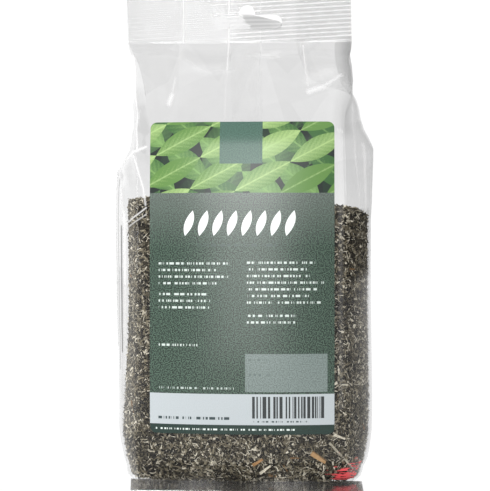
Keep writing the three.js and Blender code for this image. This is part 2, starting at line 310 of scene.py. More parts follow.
LARGE_FACETS = waves(7, 28, 70)
SMALL_FACETS = waves(9, 11, 26)
FOLDS = [
    # height and half width, whiteness and its half width, then the line as distance round and height
    # the whiteness is partly white film at hard folds and partly painted highlight, the glints of the lights
    (0.0, 1, 0.2, 1.0, [(21.5, 179), (19.6, 172)]),
    (0.0, 1, 0.5, 1.8, [(19.4, 171), (17.8, 167)]),
    (0.0, 1, 0.5, 2.1, [(83.6, 172.2), (89.8, 174.4)]),
    (0.0, 1, 0.35, 1.4, [(89.8, 174.4), (96.2, 180)]),
    (0.0, 1, 0.2, 5.0, [(84, 178), (92, 181)]),
    (0.0, 1, 0.35, 0.7, [(79.9, 195), (81, 188), (83.4, 175)]),
    (0.4, 2, 0.7, 1.0, [(-19, 138.5), (-12.8, 143), (-8, 144.5), (0, 146.2), (4.9, 147.8)]),
    (0.0, 1, 0.7, 0.9, [(0.3, 190), (0.3, 146)]),
    (0.3, 2, 0.6, 0.9, [(-1.5, 144), (3, 130.2), (4.2, 122.5)]),
    (0.5, 1.6, 0.2, 0.8, [(-19, 137.8), (-18.5, 60)]),
    (0.4, 2, 0.7, 0.7, [(-6.5, 113.8), (4.5, 121.2)]),
    (0.3, 2, 0.5, 0.6, [(-7, 111.4), (4.5, 118.4)]),
    (0.4, 3, 0.0, 1.0, [(-10.8, 129.5), (-7, 113.8), (-8.2, 50)]),
    (0.0, 1, 0.4, 1.2, [(-10.8, 129.5), (-8.4, 119.5)]),
    (0.0, 1, 0.8, 1.8, [(-8.4, 119.5), (-7, 113.8), (-7.5, 88)]),
    (0.0, 1, 0.5, 1.6, [(-7.5, 88), (-7.9, 66)]),
    (0.0, 1, 0.25, 1.4, [(-7.9, 66), (-8.3, 36)]),
    (0.4, 5, 0.3, 2.0, [(110.5, 149), (113.2, 120.5)]),
    (0.0, 1, 0.15, 1.2, [(115.5, 148), (117.5, 120.5)]),
    (0.0, 1, 0.07, 2.2, [(98.2, 178), (98.2, 35)]),
    (0.0, 1, 0.2, 0.8, [(100.7, 188), (101, 174), (107.5, 163.5), (105.2, 146.5), (108.2, 122.5)]),
    (-0.8, 2.2, 0.1, 0.8, [(26, 189), (36, 181.5), (49, 183.5)]),
    (0.7, 1.8, 0.12, 0.8, [(56, 190), (70, 188)]),
    (0.0, 1, 0.25, 0.55, [(25.6, 222.8), (25.6, 197)]),
    (0.0, 1, 0.12, 0.8, [(0, 197.4), (25.6, 197.4)]),
    # painted reflection: a faint milky veil of glare over the left of the filling
    (0.0, 1, 0.05, 9.0, [(-3, 108), (-3, 30)]),
    # painted highlight: the two edges of the back seam, drawn as white lines on the front film
    (0.0, 1, 0.4, 0.6, [(46.3, 222.8), (46.3, 197), (45.6, 183)]),
    (0.0, 1, 0.12, 0.6, [(45.6, 183), (43.8, 158)]),
    (0.0, 1, 0.3, 0.6, [(39, 209.5), (49.5, 209.5)]),
    (0.0, 1, 0.22, 0.6, [(60.7, 222.8), (60.7, 193)]),
    (0.0, 1, 0.05, 0.6, [(60.7, 193), (59.8, 158)]),
]
SHADED = [
    # greyness and its half width, then the line: the shaded side of folds
    # painted shade, as grey lines: the shaded sides of folds, the dim right edge and the dent under the seal
    (0.85, 1.5, [(-10.8, 113), (-11.4, 58)]),
    (0.45, 1.4, [(-15.2, 134), (-14.8, 50)]),
    (0.45, 0.7, [(119.5, 150), (120.5, 100)]),
    (0.3, 7.0, [(101, 194), (101, 156)]),
    (0.1, 5.0, [(27, 191), (36, 188), (46, 188.5)]),
]
# Middle as distance round and height, half width, half height, depth
DENT = (36, 187.5, 13, 5.5, 1.7)
LARGE_CREASE = 0.75
SMALL_CREASE = 0.22
FINE_CREASE = 0.05
SLACK_FROM = (118, 142)
SEAL_EASE = (188, 197)
FOLD_EASE = (192, 197)
TUCK_BOTTOM = 169
TUCK_TOP = 178
TUCK_FADE = (0.85, 0.85)
TUCK_EDGE = 7
TUCK_EDGE_FADE = 0.4
CALM_SIDE = 0.15


def fold(round_mm, z, height, half, line):
    nearest = np.full_like(z, np.inf)
    for (s0, z0), (s1, z1) in zip(line, line[1:]):
        length = (s1 - s0) ** 2 + (z1 - z0) ** 2
        t = np.clip(((round_mm - s0) * (s1 - s0) + (z - z0) * (z1 - z0)) / length, 0, 1)
        nearest = np.minimum(nearest, np.hypot(round_mm - s0 - t * (s1 - s0), z - z0 - t * (z1 - z0)))
    return height * np.clip(1 - nearest / half, 0, 1) ** 1.5


def from_corner(round_mm):
    """Distance round the film from the left front fold, negative on the left side."""
    return np.mod(round_mm + SIDE_FLAT, ROUND) - SIDE_FLAT


def creases(round_mm, z):
    """How far the film stands out from the smooth bag."""
    place = from_corner(round_mm)
    free_of_seal = 1 - smooth(*SEAL_EASE, z)
    slack = smooth(*SLACK_FROM, z) * free_of_seal
    x = (place - FRONT_FLAT / 2) / FRONT_FLAT * 2 * along(1, z) + along(6, z)
    beside = np.maximum(np.abs(x - LABEL_X) - LABEL_WIDTH / 2, z - LABEL_BOTTOM - LABEL_HEIGHT)
    on_front = (place > 0) & (place < FRONT_FLAT)
    on_right = (place >= FRONT_FLAT) & (place < FRONT_FLAT + SIDE_FLAT)
    free = np.where(on_front, smooth(0, 12, beside), np.where(on_right, CALM_SIDE, 1))
    small = facets(place, z, SMALL_FACETS) - 0.8
    large = facets(place, z, LARGE_FACETS) - 0.8
    out = (LARGE_CREASE * large + SMALL_CREASE * small) * slack
    out = out + FINE_CREASE * small * free_of_seal * smooth(2, 12, z)
    for height, half, _, _, line in FOLDS:
        if height:
            out = out + fold(place, z, height, half, line) * (1 - smooth(*FOLD_EASE, z))
    s, level, width, rise, depth = DENT
    reach = np.maximum(np.abs(place - s) / width, np.abs(z - level) / rise)
    out = out - depth * np.clip(1.4 * (1 - reach), 0, 1)
    return out * free


def tucked(round_mm, z):
    """How far a layer clings to the next in the folded-in sides, so that it hardly shows."""
    place = from_corner(round_mm)
    depth = SIDE_FLAT / 2 - np.abs(place - FRONT_FLAT - SIDE_FLAT / 2)
    loose = (depth < TUCK_EDGE) & (z < SEAL_BOTTOM)
    left_fade, right_fade = TUCK_FADE
    right = np.where(loose, TUCK_EDGE_FADE, right_fade)
    fade = np.where(place < 0, left_fade, np.where(depth > 0, right, 0))
    return fade * smooth(TUCK_BOTTOM, TUCK_TOP, z)


# %% [markdown]
# ## Clear film
#
# Cast polypropylene film is as clear as glass but so thin that it doesn't bend the view: it only
# mirrors, more and more towards its edges, and takes a little light. So the finish mixes a clear
# shader with a mirror by the angle of sight. Where the film is folded hard it turns white, as bent
# polypropylene does: along the lines of the folds a milky shader is added, which scatters light to both
# sides and glows a little. That glow, and the strength of many of the white lines, is painted highlight:
# the glints that the folds catch. The shaded sides of folds are lines of grey, painted shade. Both kinds
# are worked out in the shader, so that they stay finer than the mesh. Slack film lies in facets, and
# painted shade makes some of them a little greyer, as it does the dim right side. An attribute named
# tuck fades the inner layers, which cling to the outer ones and hardly show. The welding jaws press
# grooves, and a grey tint along them is painted shade. Streaks of red ink are left near the foot.

# %% Film finish
RIB_PITCH = 1.92
RIB_SLANT = 0.05
RIB_FADE = (-12, 6)
FOOT_PAINTED_SHADE_FADE = (-46, -24)
INK_STREAK = (1 / 5, 1 / 5, 1 / 0.55)
INK_GAIN = 0.5
INK_LEVEL = 0.9
# painted highlight: the milky fold lines glow a little, for the glints that the folds catch
MILK_PAINTED_GLINT = 0.4
# painted shade: some facets of the slack film, and the dim right side, are made greyer
FACET = 24
FACET_PAINTED_SHADE = 0.92
SIDE_PAINTED_SHADE = 0.9
FACET_SHADE_FROM = (120.0, 150.0)
EDGE_MIRROR = 0.8
# painted shade: a grey tint along the grooves of the welds, weak at the left and strong at the right
RIB_SHADE = (0.08, 0.5)


def fold_lines(tree, spot, value, lines):
    """The largest of value and the strength of each line at spot, which is distance round and height."""
    for strength, half, line in lines:
        for start, end in zip(line, line[1:]):
            way = Vector((end[0] - start[0], end[1] - start[1], 0))
            here = add(tree, "ShaderNodeVectorMath", {"operation": "SUBTRACT"}, {0: spot, 1: (*start, 0)})
            reach = add(tree, "ShaderNodeVectorMath", {"operation": "DOT_PRODUCT"}, {
                0: here.outputs[0], 1: way / way.length_squared,
            })
            part = add(tree, "ShaderNodeClamp", None, {0: reach.outputs["Value"]})
            foot = add(tree, "ShaderNodeVectorMath", {"operation": "SCALE"}, {
                0: way, "Scale": part.outputs[0],
            })
            off = add(tree, "ShaderNodeVectorMath", {"operation": "DISTANCE"}, {
                0: here.outputs[0], 1: foot.outputs[0],
            })
            milky = add(tree, "ShaderNodeMapRange", {"interpolation_type": "SMOOTHSTEP"}, {
                "Value": off.outputs["Value"], "From Min": half, "From Max": 0.0,
                "To Min": 0.0, "To Max": strength,
            })
            most = add(tree, "ShaderNodeMath", {"operation": "MAXIMUM"}, {0: value, 1: milky.outputs[0]})
            value = most.outputs[0]
    return value


def painted_film_shade(tree, spot, place, z):
    """Painted shade: the film lets less light through in some facets of the slack film and on the dim right
    side.
    """
    cells = add(tree, "ShaderNodeTexVoronoi", {"voronoi_dimensions": "2D"}, {
        "Vector": spot, "Scale": 1 / FACET,
    })
    shade = add(tree, "ShaderNodeMapRange", None, {"Value": cells.outputs["Color"], "To Min": FACET_PAINTED_SHADE})
    slack = add(tree, "ShaderNodeMapRange", {"interpolation_type": "SMOOTHSTEP"}, {
        "Value": z, "From Min": FACET_SHADE_FROM[0], "From Max": FACET_SHADE_FROM[1],
    })
    loose = add(tree, "ShaderNodeMath", {"operation": "LESS_THAN"}, {0: z, 1: float(SEAL_BOTTOM)})
    both = add(tree, "ShaderNodeMath", {"operation": "MULTIPLY"}, {0: slack.outputs[0], 1: loose.outputs[0]})
    grey = add(tree, "ShaderNodeMix", None, {"Factor": both.outputs[0], 2: 1.0, 3: shade.outputs[0]})
    right = add(tree, "ShaderNodeMath", {"operation": "COMPARE"}, {
        0: place, 1: FRONT_FLAT + SIDE_FLAT / 2, 2: SIDE_FLAT / 2,
    })
    side = add(tree, "ShaderNodeMath", {"operation": "MULTIPLY_ADD"}, {
        0: right.outputs[0], 1: SIDE_PAINTED_SHADE - 1, 2: 1.0,
    })
    whole = add(tree, "ShaderNodeMath", {"operation": "MULTIPLY"}, {0: grey.outputs[0], 1: side.outputs[0]})
    return whole.outputs[0]


def film_finish(name, mirror, haze, tint, groove_shade, ink_low, ink_high, folded=False, fade=RIB_FADE, edge=4.0):
    made, tree = material(name)
    place = add(tree, "ShaderNodeTexCoord")
    spot = add(tree, "ShaderNodeSeparateXYZ", None, {0: place.outputs["Object"]})
    turns = 2 * math.pi / (RIB_PITCH * MM)
    along_ribs = add(tree, "ShaderNodeVectorMath", {"operation": "DOT_PRODUCT"}, {
        0: place.outputs["Object"], 1: (-RIB_SLANT * turns, 0, turns),
    })
    wave = add(tree, "ShaderNodeMath", {"operation": "SINE"}, {0: along_ribs.outputs["Value"]})
    # painted shade: the grooves are tinted grey, more towards the right
    depth = add(tree, "ShaderNodeMapRange", {"interpolation_type": "SMOOTHSTEP"}, {
        "Value": spot.outputs["X"], "From Min": fade[0] * MM, "From Max": fade[1] * MM,
        "To Min": RIB_SHADE[0], "To Max": RIB_SHADE[1],
    })
    painted_groove_shade = add(tree, "ShaderNodeMath", {"operation": "MULTIPLY_ADD"}, {
        0: wave.outputs[0], 1: depth.outputs[0], 2: depth.outputs[0],
    })
    glassy = add(tree, "ShaderNodeMix", {"data_type": "RGBA"}, {
        "Factor": painted_groove_shade.outputs[0], 6: linear(tint), 7: linear(groove_shade),
    })
    cloud = haze
    if folded:
        flat = add(tree, "ShaderNodeSeparateXYZ", None, {0: place.outputs["UV"]})
        way_round = add(tree, "ShaderNodeMath", {"operation": "MULTIPLY"}, {0: flat.outputs["X"], 1: ROUND})
        from_fold = add(tree, "ShaderNodeMath", {"operation": "WRAP"}, {
            0: way_round.outputs[0], 1: ROUND - SIDE_FLAT, 2: -SIDE_FLAT,
        })
        z = add(tree, "ShaderNodeMath", {"operation": "DIVIDE"}, {0: spot.outputs["Z"], 1: MM})
        unrolled = add(tree, "ShaderNodeCombineXYZ", None, {0: from_fold.outputs[0], 1: z.outputs[0]})
        grey = painted_film_shade(tree, unrolled.outputs[0], from_fold.outputs[0], z.outputs[0])
        glassy = add(tree, "ShaderNodeMix", {"data_type": "RGBA", "blend_type": "MULTIPLY"}, {
            "Factor": 1.0, 6: glassy.outputs[2], 7: grey,
        })
        cloud = fold_lines(tree, unrolled.outputs[0], haze, [row[2:] for row in FOLDS if row[2]])
        shade = fold_lines(tree, unrolled.outputs[0], 0.0, SHADED)
    facing = add(tree, "ShaderNodeLayerWeight", Blend=0.5)
    steep = add(tree, "ShaderNodeMath", {"operation": "POWER"}, {0: facing.outputs["Facing"], 1: edge})
    share = add(tree, "ShaderNodeMath", {"operation": "MULTIPLY_ADD"}, {
        0: steep.outputs[0], 1: EDGE_MIRROR, 2: mirror,
    })
    clear = add(tree, "ShaderNodeBsdfTransparent", None, {0: glassy.outputs[2]})
    gloss = add(tree, "ShaderNodeBsdfPrincipled", Base_Color=linear("#f5f5f5"), Metallic=1.0, Roughness=0.08)
    skin = add(tree, "ShaderNodeMixShader", None, {
        0: share.outputs[0], 1: clear.outputs[0], 2: gloss.outputs[0],
    })
    tuck = add(tree, "ShaderNodeAttribute", {"attribute_name": "tuck"})
    unseen = add(tree, "ShaderNodeBsdfTransparent", Color=(1, 1, 1, 1))
    layer = add(tree, "ShaderNodeMixShader", None, {
        0: tuck.outputs["Fac"], 1: skin.outputs[0], 2: unseen.outputs[0],
    })
    if folded:
        # painted shade: grey lines on the shaded sides of folds
        dim = add(tree, "ShaderNodeBsdfTransparent", Color=linear("#8a8a8a"))
        layer = add(tree, "ShaderNodeMixShader", None, {0: shade, 1: layer.outputs[0], 2: dim.outputs[0]})
    # painted highlight: the milky shader glows a little, for the glints along the folds
    front = add(
        tree, "ShaderNodeBsdfPrincipled", Base_Color=linear("#fafafa"), Roughness=0.4,
        Emission_Color=(1, 1, 1, 1), Emission_Strength=MILK_PAINTED_GLINT,
    )
    through = add(tree, "ShaderNodeBsdfTranslucent", Color=linear("#fafafa"))
    milk = add(tree, "ShaderNodeMixShader", None, {0: 0.5, 1: front.outputs[0], 2: through.outputs[0]})
    milky = add(tree, "ShaderNodeMixShader", None, {0: cloud, 1: layer.outputs[0], 2: milk.outputs[0]})
    room = add(tree, "ShaderNodeMapRange", {"data_type": "FLOAT_VECTOR"}, {
        "Vector": place.outputs["Object"],
        "From Min": Vector(ink_low) * MM, "From Max": Vector(ink_high) * MM,
    })
    sides = add(tree, "ShaderNodeSeparateXYZ", None, {0: room.outputs["Vector"]})
    low = add(tree, "ShaderNodeMath", {"operation": "SUBTRACT"}, {0: 1.0, 1: sides.outputs["Z"]})
    corner = add(tree, "ShaderNodeMath", {"operation": "MULTIPLY"}, {
        0: sides.outputs["X"], 1: low.outputs[0],
    })
    ahead = add(tree, "ShaderNodeMath", {"operation": "LESS_THAN"}, {0: sides.outputs["Y"], 1: 1.0})
    wet = add(tree, "ShaderNodeMath", {"operation": "MULTIPLY"}, {0: corner.outputs[0], 1: ahead.outputs[0]})
    above = add(tree, "ShaderNodeMath", {"operation": "GREATER_THAN"}, {
        0: spot.outputs["Z"], 1: ink_low[2] * MM,
    })
    streaks = add(tree, "ShaderNodeMapping", None, {
        "Vector": place.outputs["Object"], "Scale": Vector(INK_STREAK) / MM,
    })
    chance = add(tree, "ShaderNodeTexNoise", None, {
        "Vector": streaks.outputs[0], "Scale": 1.0, "Detail": 2.0,
    })
    amount = add(tree, "ShaderNodeMath", {"operation": "MULTIPLY_ADD"}, {
        0: wet.outputs[0], 1: INK_GAIN, 2: chance.outputs["Fac"],
    })
    enough = add(tree, "ShaderNodeMath", {"operation": "GREATER_THAN"}, {0: amount.outputs[0], 1: INK_LEVEL})
    inked = add(tree, "ShaderNodeMath", {"operation": "MULTIPLY"}, {
        0: enough.outputs[0], 1: above.outputs[0],
    })
    ink = add(tree, "ShaderNodeBsdfPrincipled", Base_Color=linear("#f0585c"), Roughness=0.5)
    whole = add(tree, "ShaderNodeMixShader", None, {
        0: inked.outputs[0], 1: milky.outputs[0], 2: ink.outputs[0],
    })
    add(tree, "ShaderNodeOutputMaterial", None, {"Surface": whole.outputs[0]})
    return made


NO_INK = ((0, 0, -2), (1, 1, -1))
CORNER_INK = ((30, -40, 2.6), (42, -8, 19))
FOOT_INK = ((10, -50, -1), (46, -29, 4))
clear_film = film_finish("clear_polypropylene_film", 0.025, 0.003, "#f3f3f3", "#f3f3f3", *CORNER_INK, True)
# painted shade: the grooves of the seal take a greyer tint
welded_film = film_finish("welded_polypropylene_film", 0.02, 0.01, "#f1f1f1", "#e2e2e2", *NO_INK, True)
lap_film = film_finish("lapped_polypropylene_film", 0.02, 0.0, "#ffffff", "#ffffff", *NO_INK)
flap_film = film_finish("punched_polypropylene_film", 0.02, 0.005, "#e8e8e8", "#dedede", *NO_INK)
# painted shade: a grey tint in the grooves darkens the fin from its left end towards the middle
foot_film = film_finish(
    "folded_polypropylene_film", 0.1, 0.02, "#e6e6e6", "#808080", *FOOT_INK, fade=FOOT_PAINTED_SHADE_FADE, edge=1.0,
)

# %% [markdown]
# ## The film tube
#
# The tube is one grid, wrapped round the stations and welded to itself along its edge. Its rows are
# close together in the empty top of the bag, where the creases are, and closer still in the top seal,
# where the jaws' ribs need them. The ribs push front and back the same way, because the layers are
# welded there.

# %% Film tube
RIB_DEPTH = 0.12
ROUND_STEPS = 400
ROWS = [0, 62, 152, 233]
ROW_HEIGHTS = [0, 125, SEAL_BOTTOM, SEAL_TOP]


def ribs(x, z):
    wave = np.sin(2 * np.pi * (z - RIB_SLANT * x) / RIB_PITCH)
    return np.where(z > SEAL_BOTTOM, RIB_DEPTH * wave, 0)


def film_point(round_mm, z, lift=0):
    """A point on the film, or lifted off it, in millimetres."""
    x, y = bag_at(round_mm, z)
    ahead_x, ahead_y = bag_at(round_mm + 0.2, z)
    behind_x, behind_y = bag_at(round_mm - 0.2, z)
    way_x, way_y = ahead_x - behind_x, ahead_y - behind_y
    length = np.hypot(way_x, way_y) + 1e-9
    out = creases(round_mm, z) + lift
    x = pressed(x + way_y / length * out, z)
    return x, y - way_x / length * out + ribs(x, z) + DEPTH_SHIFT, z


def film_place(u, v):
    return film_point(u * ROUND, np.interp(v * ROWS[-1], ROWS, ROW_HEIGHTS))


film = sheet("bag_film", ROUND_STEPS, ROWS[-1], film_place)
only(film)
bpy.ops.object.mode_set(mode="EDIT")
bpy.ops.mesh.select_all(action="SELECT")
bpy.ops.mesh.remove_doubles(threshold=0.00001)
bpy.ops.mesh.fill_holes(sides=0)
bpy.ops.mesh.select_all(action="SELECT")
bpy.ops.mesh.normals_make_consistent(inside=False)
bpy.ops.object.mode_set(mode="OBJECT")

# %% [markdown]
# ## Back seam, hang hole and its flap
#
# The tube was made from flat film by lapping its two edges down the middle of the back. The outer edge
# of the lap is a strip that lies on the film, with slightly raised edges that show through the empty
# top as lines; white lines on the front film add a painted highlight along them. The hole is the common
# wide slot with a bump in its middle, punched through the seal. Its outline is a circle primitive whose
# points are moved to the slot, then extruded to a cutter. The same cutter keeps a piece out of a ribbed
# strip: the flap, which still hangs in the hole by its lower edge and leans back.

# %% Back seam, hang hole and flap
HOLE_X = 1
HOLE_BOTTOM = SEAL_BOTTOM + 5.8
HOLE_WIDTH = 31.6
HOLE_HEIGHT = 6.4
HOLE_BUMP = 7.4
HOLE_RISE = 4.5
ARC = 16
FLAP_LEAN = math.radians(48)
FLAP_BEND = -2
BUMP_LEAN = math.radians(75)
SEAM_WIDTH = 14.4
SEAM_FOOT = 1
SEAM_LIFT = 0.4
SEAM_CURL = 0.05


def hole_outline():
    round_end = HOLE_HEIGHT / 2
    wing = HOLE_WIDTH / 2 - round_end
    right = np.linspace(-np.pi / 2, np.pi / 2, ARC)
    over = np.linspace(0, np.pi, ARC)
    x = np.concatenate((
        wing + round_end * np.cos(right), HOLE_BUMP / 2 * np.cos(over), -wing - round_end * np.cos(right),
    ))
    z = np.concatenate((
        round_end + round_end * np.sin(right), HOLE_HEIGHT + HOLE_RISE * np.sin(over),
        round_end - round_end * np.sin(right),
    ))
    return np.stack((x + HOLE_X, np.full_like(x, -8), z + HOLE_BOTTOM), axis=1)


def hole_cutter():
    points = hole_outline()
    bpy.ops.object.select_all(action="DESELECT")
    bpy.ops.mesh.primitive_circle_add(vertices=len(points), fill_type="NGON")
    cutter = bpy.context.object
    cutter.data.vertices.foreach_set("co", (points * MM).ravel())
    bpy.ops.object.mode_set(mode="EDIT")
    bpy.ops.mesh.select_all(action="SELECT")
    bpy.ops.mesh.extrude_region_move(TRANSFORM_OT_translate={"value": (0, 24 * MM, 0)})
    bpy.ops.mesh.select_all(action="SELECT")
    bpy.ops.mesh.normals_make_consistent(inside=False)
    bpy.ops.object.mode_set(mode="OBJECT")
    return cutter


def flap_place(u, v):
    z = HOLE_BOTTOM - 1 + (HOLE_HEIGHT + HOLE_RISE + 2) * v
    return HOLE_X + (HOLE_WIDTH + 2) * (u - 0.5), np.full_like(z, DEPTH_SHIFT), z


def seam_place(u, v):
    z = np.interp(SEAM_FOOT + (ROWS[-1] - SEAM_FOOT) * v, ROWS, ROW_HEIGHTS)
    x = SEAM_WIDTH * (0.5 - u)
    across = (along(6, z) - x) / along(1, z)
    round_mm = FRONT_FLAT + SIDE_FLAT + (across + 1) / 2 * FRONT_FLAT
    edge = np.abs(2 * u - 1) ** 16
    return film_point(round_mm, z, SEAM_LIFT + SEAM_CURL * edge)


cutter = hole_cutter()
seam = sheet("back_seam", 28, ROWS[-1], seam_place)
finish_with(seam, "SOLIDIFY", thickness=0.1 * MM, offset=1)
finish_with(seam, "BOOLEAN", operation="DIFFERENCE", object=cutter, solver="EXACT")
flap = sheet("hang_hole_flap", 40, 44, flap_place)
finish_with(flap, "SOLIDIFY", thickness=0.3 * MM, offset=0)
finish_with(flap, "BOOLEAN", operation="INTERSECT", object=cutter, solver="EXACT")
finish_with(film, "BOOLEAN", operation="DIFFERENCE", object=cutter, solver="EXACT")
bpy.data.objects.remove(cutter)

for point in flap.data.vertices:
    rise = point.co.z - HOLE_BOTTOM * MM
    straight = min(rise, HOLE_HEIGHT * MM)
    lean = FLAP_LEAN * smooth(FLAP_BEND, HOLE_X + HOLE_WIDTH / 2, point.co.x / MM)
    depth = point.co.y - DEPTH_SHIFT * MM
    up = straight * math.cos(lean) + (rise - straight) * math.cos(BUMP_LEAN)
    back = straight * math.sin(lean) + (rise - straight) * math.sin(BUMP_LEAN)
    point.co.z = HOLE_BOTTOM * MM + up - depth * math.sin(lean)
    point.co.y = DEPTH_SHIFT * MM + back + depth * math.cos(lean)


def corner_places(obj):
    """u and v at every corner of every face."""
    places = np.empty(2 * len(obj.data.loops))
    obj.data.uv_layers.active.data.foreach_get("uv", places)
    return places.reshape(-1, 2).T


def mark(obj, name, values):
    layer = obj.data.attributes.new(name, "FLOAT", "CORNER")
    layer.data.foreach_set("value", values.astype(np.float32))


only(film)
bpy.ops.object.shade_smooth_by_angle(angle=math.radians(40))
dress(film, clear_film, "bag_film")
film.data.materials.append(welded_film)
for face in film.data.polygons:
    if face.center.z > SEAL_BOTTOM * MM:
        face.material_index = 1
u, v = corner_places(film)
height = np.interp(v * ROWS[-1], ROWS, ROW_HEIGHTS)
mark(film, "tuck", tucked(u * ROUND, height))
only(flap)
bpy.ops.object.shade_smooth_by_angle(angle=math.radians(40))
dress(flap, flap_film, "bag_film")
only(seam)
bpy.ops.object.shade_smooth_by_angle(angle=math.radians(50))
dress(seam, lap_film, "bag_film")

# %% [markdown]
# ## Foot seal
#
# The lower seal is the same ribbed weld as the top one, folded flat under the bag with its edge showing
# at the front, where it lies in slight waves. Its left end slants. Seen along the floor it is dark,
# partly from what it mirrors at that low angle and partly from painted shade: a grey tint in its
# grooves that grows from the left end towards the middle. From above it is clear but for that grey.

# %% Foot seal
FIN_X = 3
FIN_WIDTH = 99
FIN_BACK = -10
FIN_FRONT = -37.5
FIN_LAYERS = 0.3
FIN_LEVEL = 0.45
FIN_RIB = 0.05
FIN_SLANT = 4
FIN_WAVE = 0.12
FIN_RIPPLE = 0.06
FIN_FLAT = -17
FIN_ROWS_PER_RIB = 6


def fin_place(u, v):
    y = FIN_FRONT + (FIN_BACK - FIN_FRONT) * v
    x = FIN_X + FIN_WIDTH * (u - 0.5) - FIN_SLANT * v * (1 - u)
    wave = FIN_WAVE * np.sin(u * 17) * np.sin(u * 7 + 1) + FIN_RIPPLE * np.sin(u * 31 + 2)
    rib = FIN_RIB * np.sin(2 * np.pi * y / RIB_PITCH)
    return x, y + DEPTH_SHIFT, FIN_LEVEL + rib + wave * smooth(FIN_FLAT, FIN_FRONT, y)


fin = sheet("foot_seal", 60, round((FIN_BACK - FIN_FRONT) / RIB_PITCH) * FIN_ROWS_PER_RIB, fin_place)
finish_with(fin, "SOLIDIFY", thickness=FIN_LAYERS * MM, offset=0)
bpy.ops.object.shade_smooth_by_angle(angle=math.radians(50))
dress(fin, foot_film, "bag_film")

# %% [markdown]
# ## Dried sage: the heap
#
# The filling is thousands of loose cuttings, but only the outermost ones show. So the inside is one
# dark heap, a little smaller than the bag, and the cuttings are scattered over it. Its near-black colour
# is painted shade for the gaps between the cuttings. The heap follows the film up to the fill line,
# then closes over in a low, uneven crown.

# %% Heap
HEAP_WALL = 2.6
LEFT_GAP = 3.2
HEAP_FOOT = 2.3
FILL_HEIGHT = 121
FILL_SLOPE = -0.03
FILL_WAVE = 1.2
FILL_RIPPLE = 0.8
CROWN = 3.5
CROWN_BUMP = 0.7
SIDE_SHARE = 0.8


def heap_place(u, v):
    rise = np.clip(v / SIDE_SHARE, 0, 1)
    close = np.clip((v - SIDE_SHARE) / (1 - SIDE_SHARE), 0, 1)
    edge_x, edge_y = bag_at(u * ROUND, np.full_like(u, FILL_HEIGHT), HEAP_WALL)
    level = FILL_HEIGHT + FILL_SLOPE * edge_x
    level = level + FILL_WAVE * np.sin(9 * np.pi * u) + FILL_RIPPLE * np.sin(22 * np.pi * u)
    z = HEAP_FOOT + (level - HEAP_FOOT) * rise
    place = from_corner(u * ROUND)
    left = smooth(-SIDE_FLAT - 1, -SIDE_FLAT / 2, place) * (1 - smooth(-12, 0, place))
    x, y = bag_at(u * ROUND, z, HEAP_WALL + LEFT_GAP * left * smooth(15, 80, z))
    shrink = 1 - 0.999 * close
    bump = CROWN_BUMP * np.sin(x * 0.31 + 1) * np.sin(y * 0.37)
    z = z + CROWN * np.sin(close * np.pi / 2) + bump * np.where(close > 0, 1, 0)
    return pressed(x, z) * shrink, y * shrink + DEPTH_SHIFT, z


heap = sheet("sage_heap", 120, 60, heap_place)
only(heap)
bpy.ops.object.mode_set(mode="EDIT")
bpy.ops.mesh.select_all(action="SELECT")
bpy.ops.mesh.remove_doubles(threshold=0.0001)
bpy.ops.mesh.fill_holes(sides=0)
bpy.ops.mesh.select_all(action="SELECT")
bpy.ops.mesh.normals_make_consistent(inside=False)
bpy.ops.object.mode_set(mode="OBJECT")

# %% [markdown]
# ## Dried sage: finish
#
# Dried sage is grey-green leaf with pale, felted undersides, cut into shreds, with a few tan chips of
# stalk. Each cutting carries a random number named tone, and a colour ramp turns it into a dark, a
# middle or a pale leaf. The heap carries no tone and so takes the darkest colour, painted shade for
# the gaps between the cuttings. The surface is dry and matt.

# %% Sage finish
# Size in millimetres and strength of the mottling: on one leaf, and from one part of the heap to the next
LEAF_MOTTLE = [(1.0, 0.4), (12, 0.5)]


def sage_finish(name, colours):
    made, tree = material(name)
    tone = add(tree, "ShaderNodeAttribute", {"attribute_name": "tone"})
    place = add(tree, "ShaderNodeTexCoord")
    value = tone.outputs["Fac"]
    for size, amount in LEAF_MOTTLE:
        noise = add(tree, "ShaderNodeTexNoise", None, {
            "Vector": place.outputs["Object"], "Scale": 1 / (size * MM),
        })
        swing = add(tree, "ShaderNodeMath", {"operation": "SUBTRACT"}, {0: noise.outputs["Fac"], 1: 0.5})
        mixed = add(tree, "ShaderNodeMath", {"operation": "MULTIPLY_ADD"}, {
            0: swing.outputs[0], 1: amount, 2: value,
        })
        value = mixed.outputs[0]
    ramp = add(tree, "ShaderNodeValToRGB", None, {0: value})
    stops = ramp.color_ramp.elements
    while len(stops) < len(colours):
        stops.new(0.5)
    for stop, (position, colour) in zip(stops, colours):
        stop.position = position
        stop.color = linear(colour)
    leaf = add(tree, "ShaderNodeBsdfPrincipled", None, {"Base Color": ramp.outputs[0]}, Roughness=0.85)
    add(tree, "ShaderNodeOutputMaterial", None, {"Surface": leaf.outputs[0]})
    return made


LEAF_COLOURS = [(0.0, "#110e08"), (0.4, "#4b4536"), (0.7, "#8f866f"), (1.0, "#f6efdc")]
STALK_COLOURS = [(0.0, "#7d5f3b"), (0.5, "#bd9160"), (1.0, "#dcc69c")]
dried_leaf = sage_finish("dried_sage_leaf", LEAF_COLOURS)
dried_stalk = sage_finish("dried_sage_stalk", STALK_COLOURS)
# painted shade: the heap has no tone, so it takes the darkest leaf colour
dress(heap, dried_leaf, "dried_sage")

# %% [markdown]
# ## Dried sage: cuttings
#
# A cutting is modelled once: a small grid, tapered and curled, given a thin wall. Geometry nodes then
# scatter the few shapes over the heap, each copy lying along the surface at a random turn, tilt and
# size. The modifier is applied, so that what is left is plain mesh.


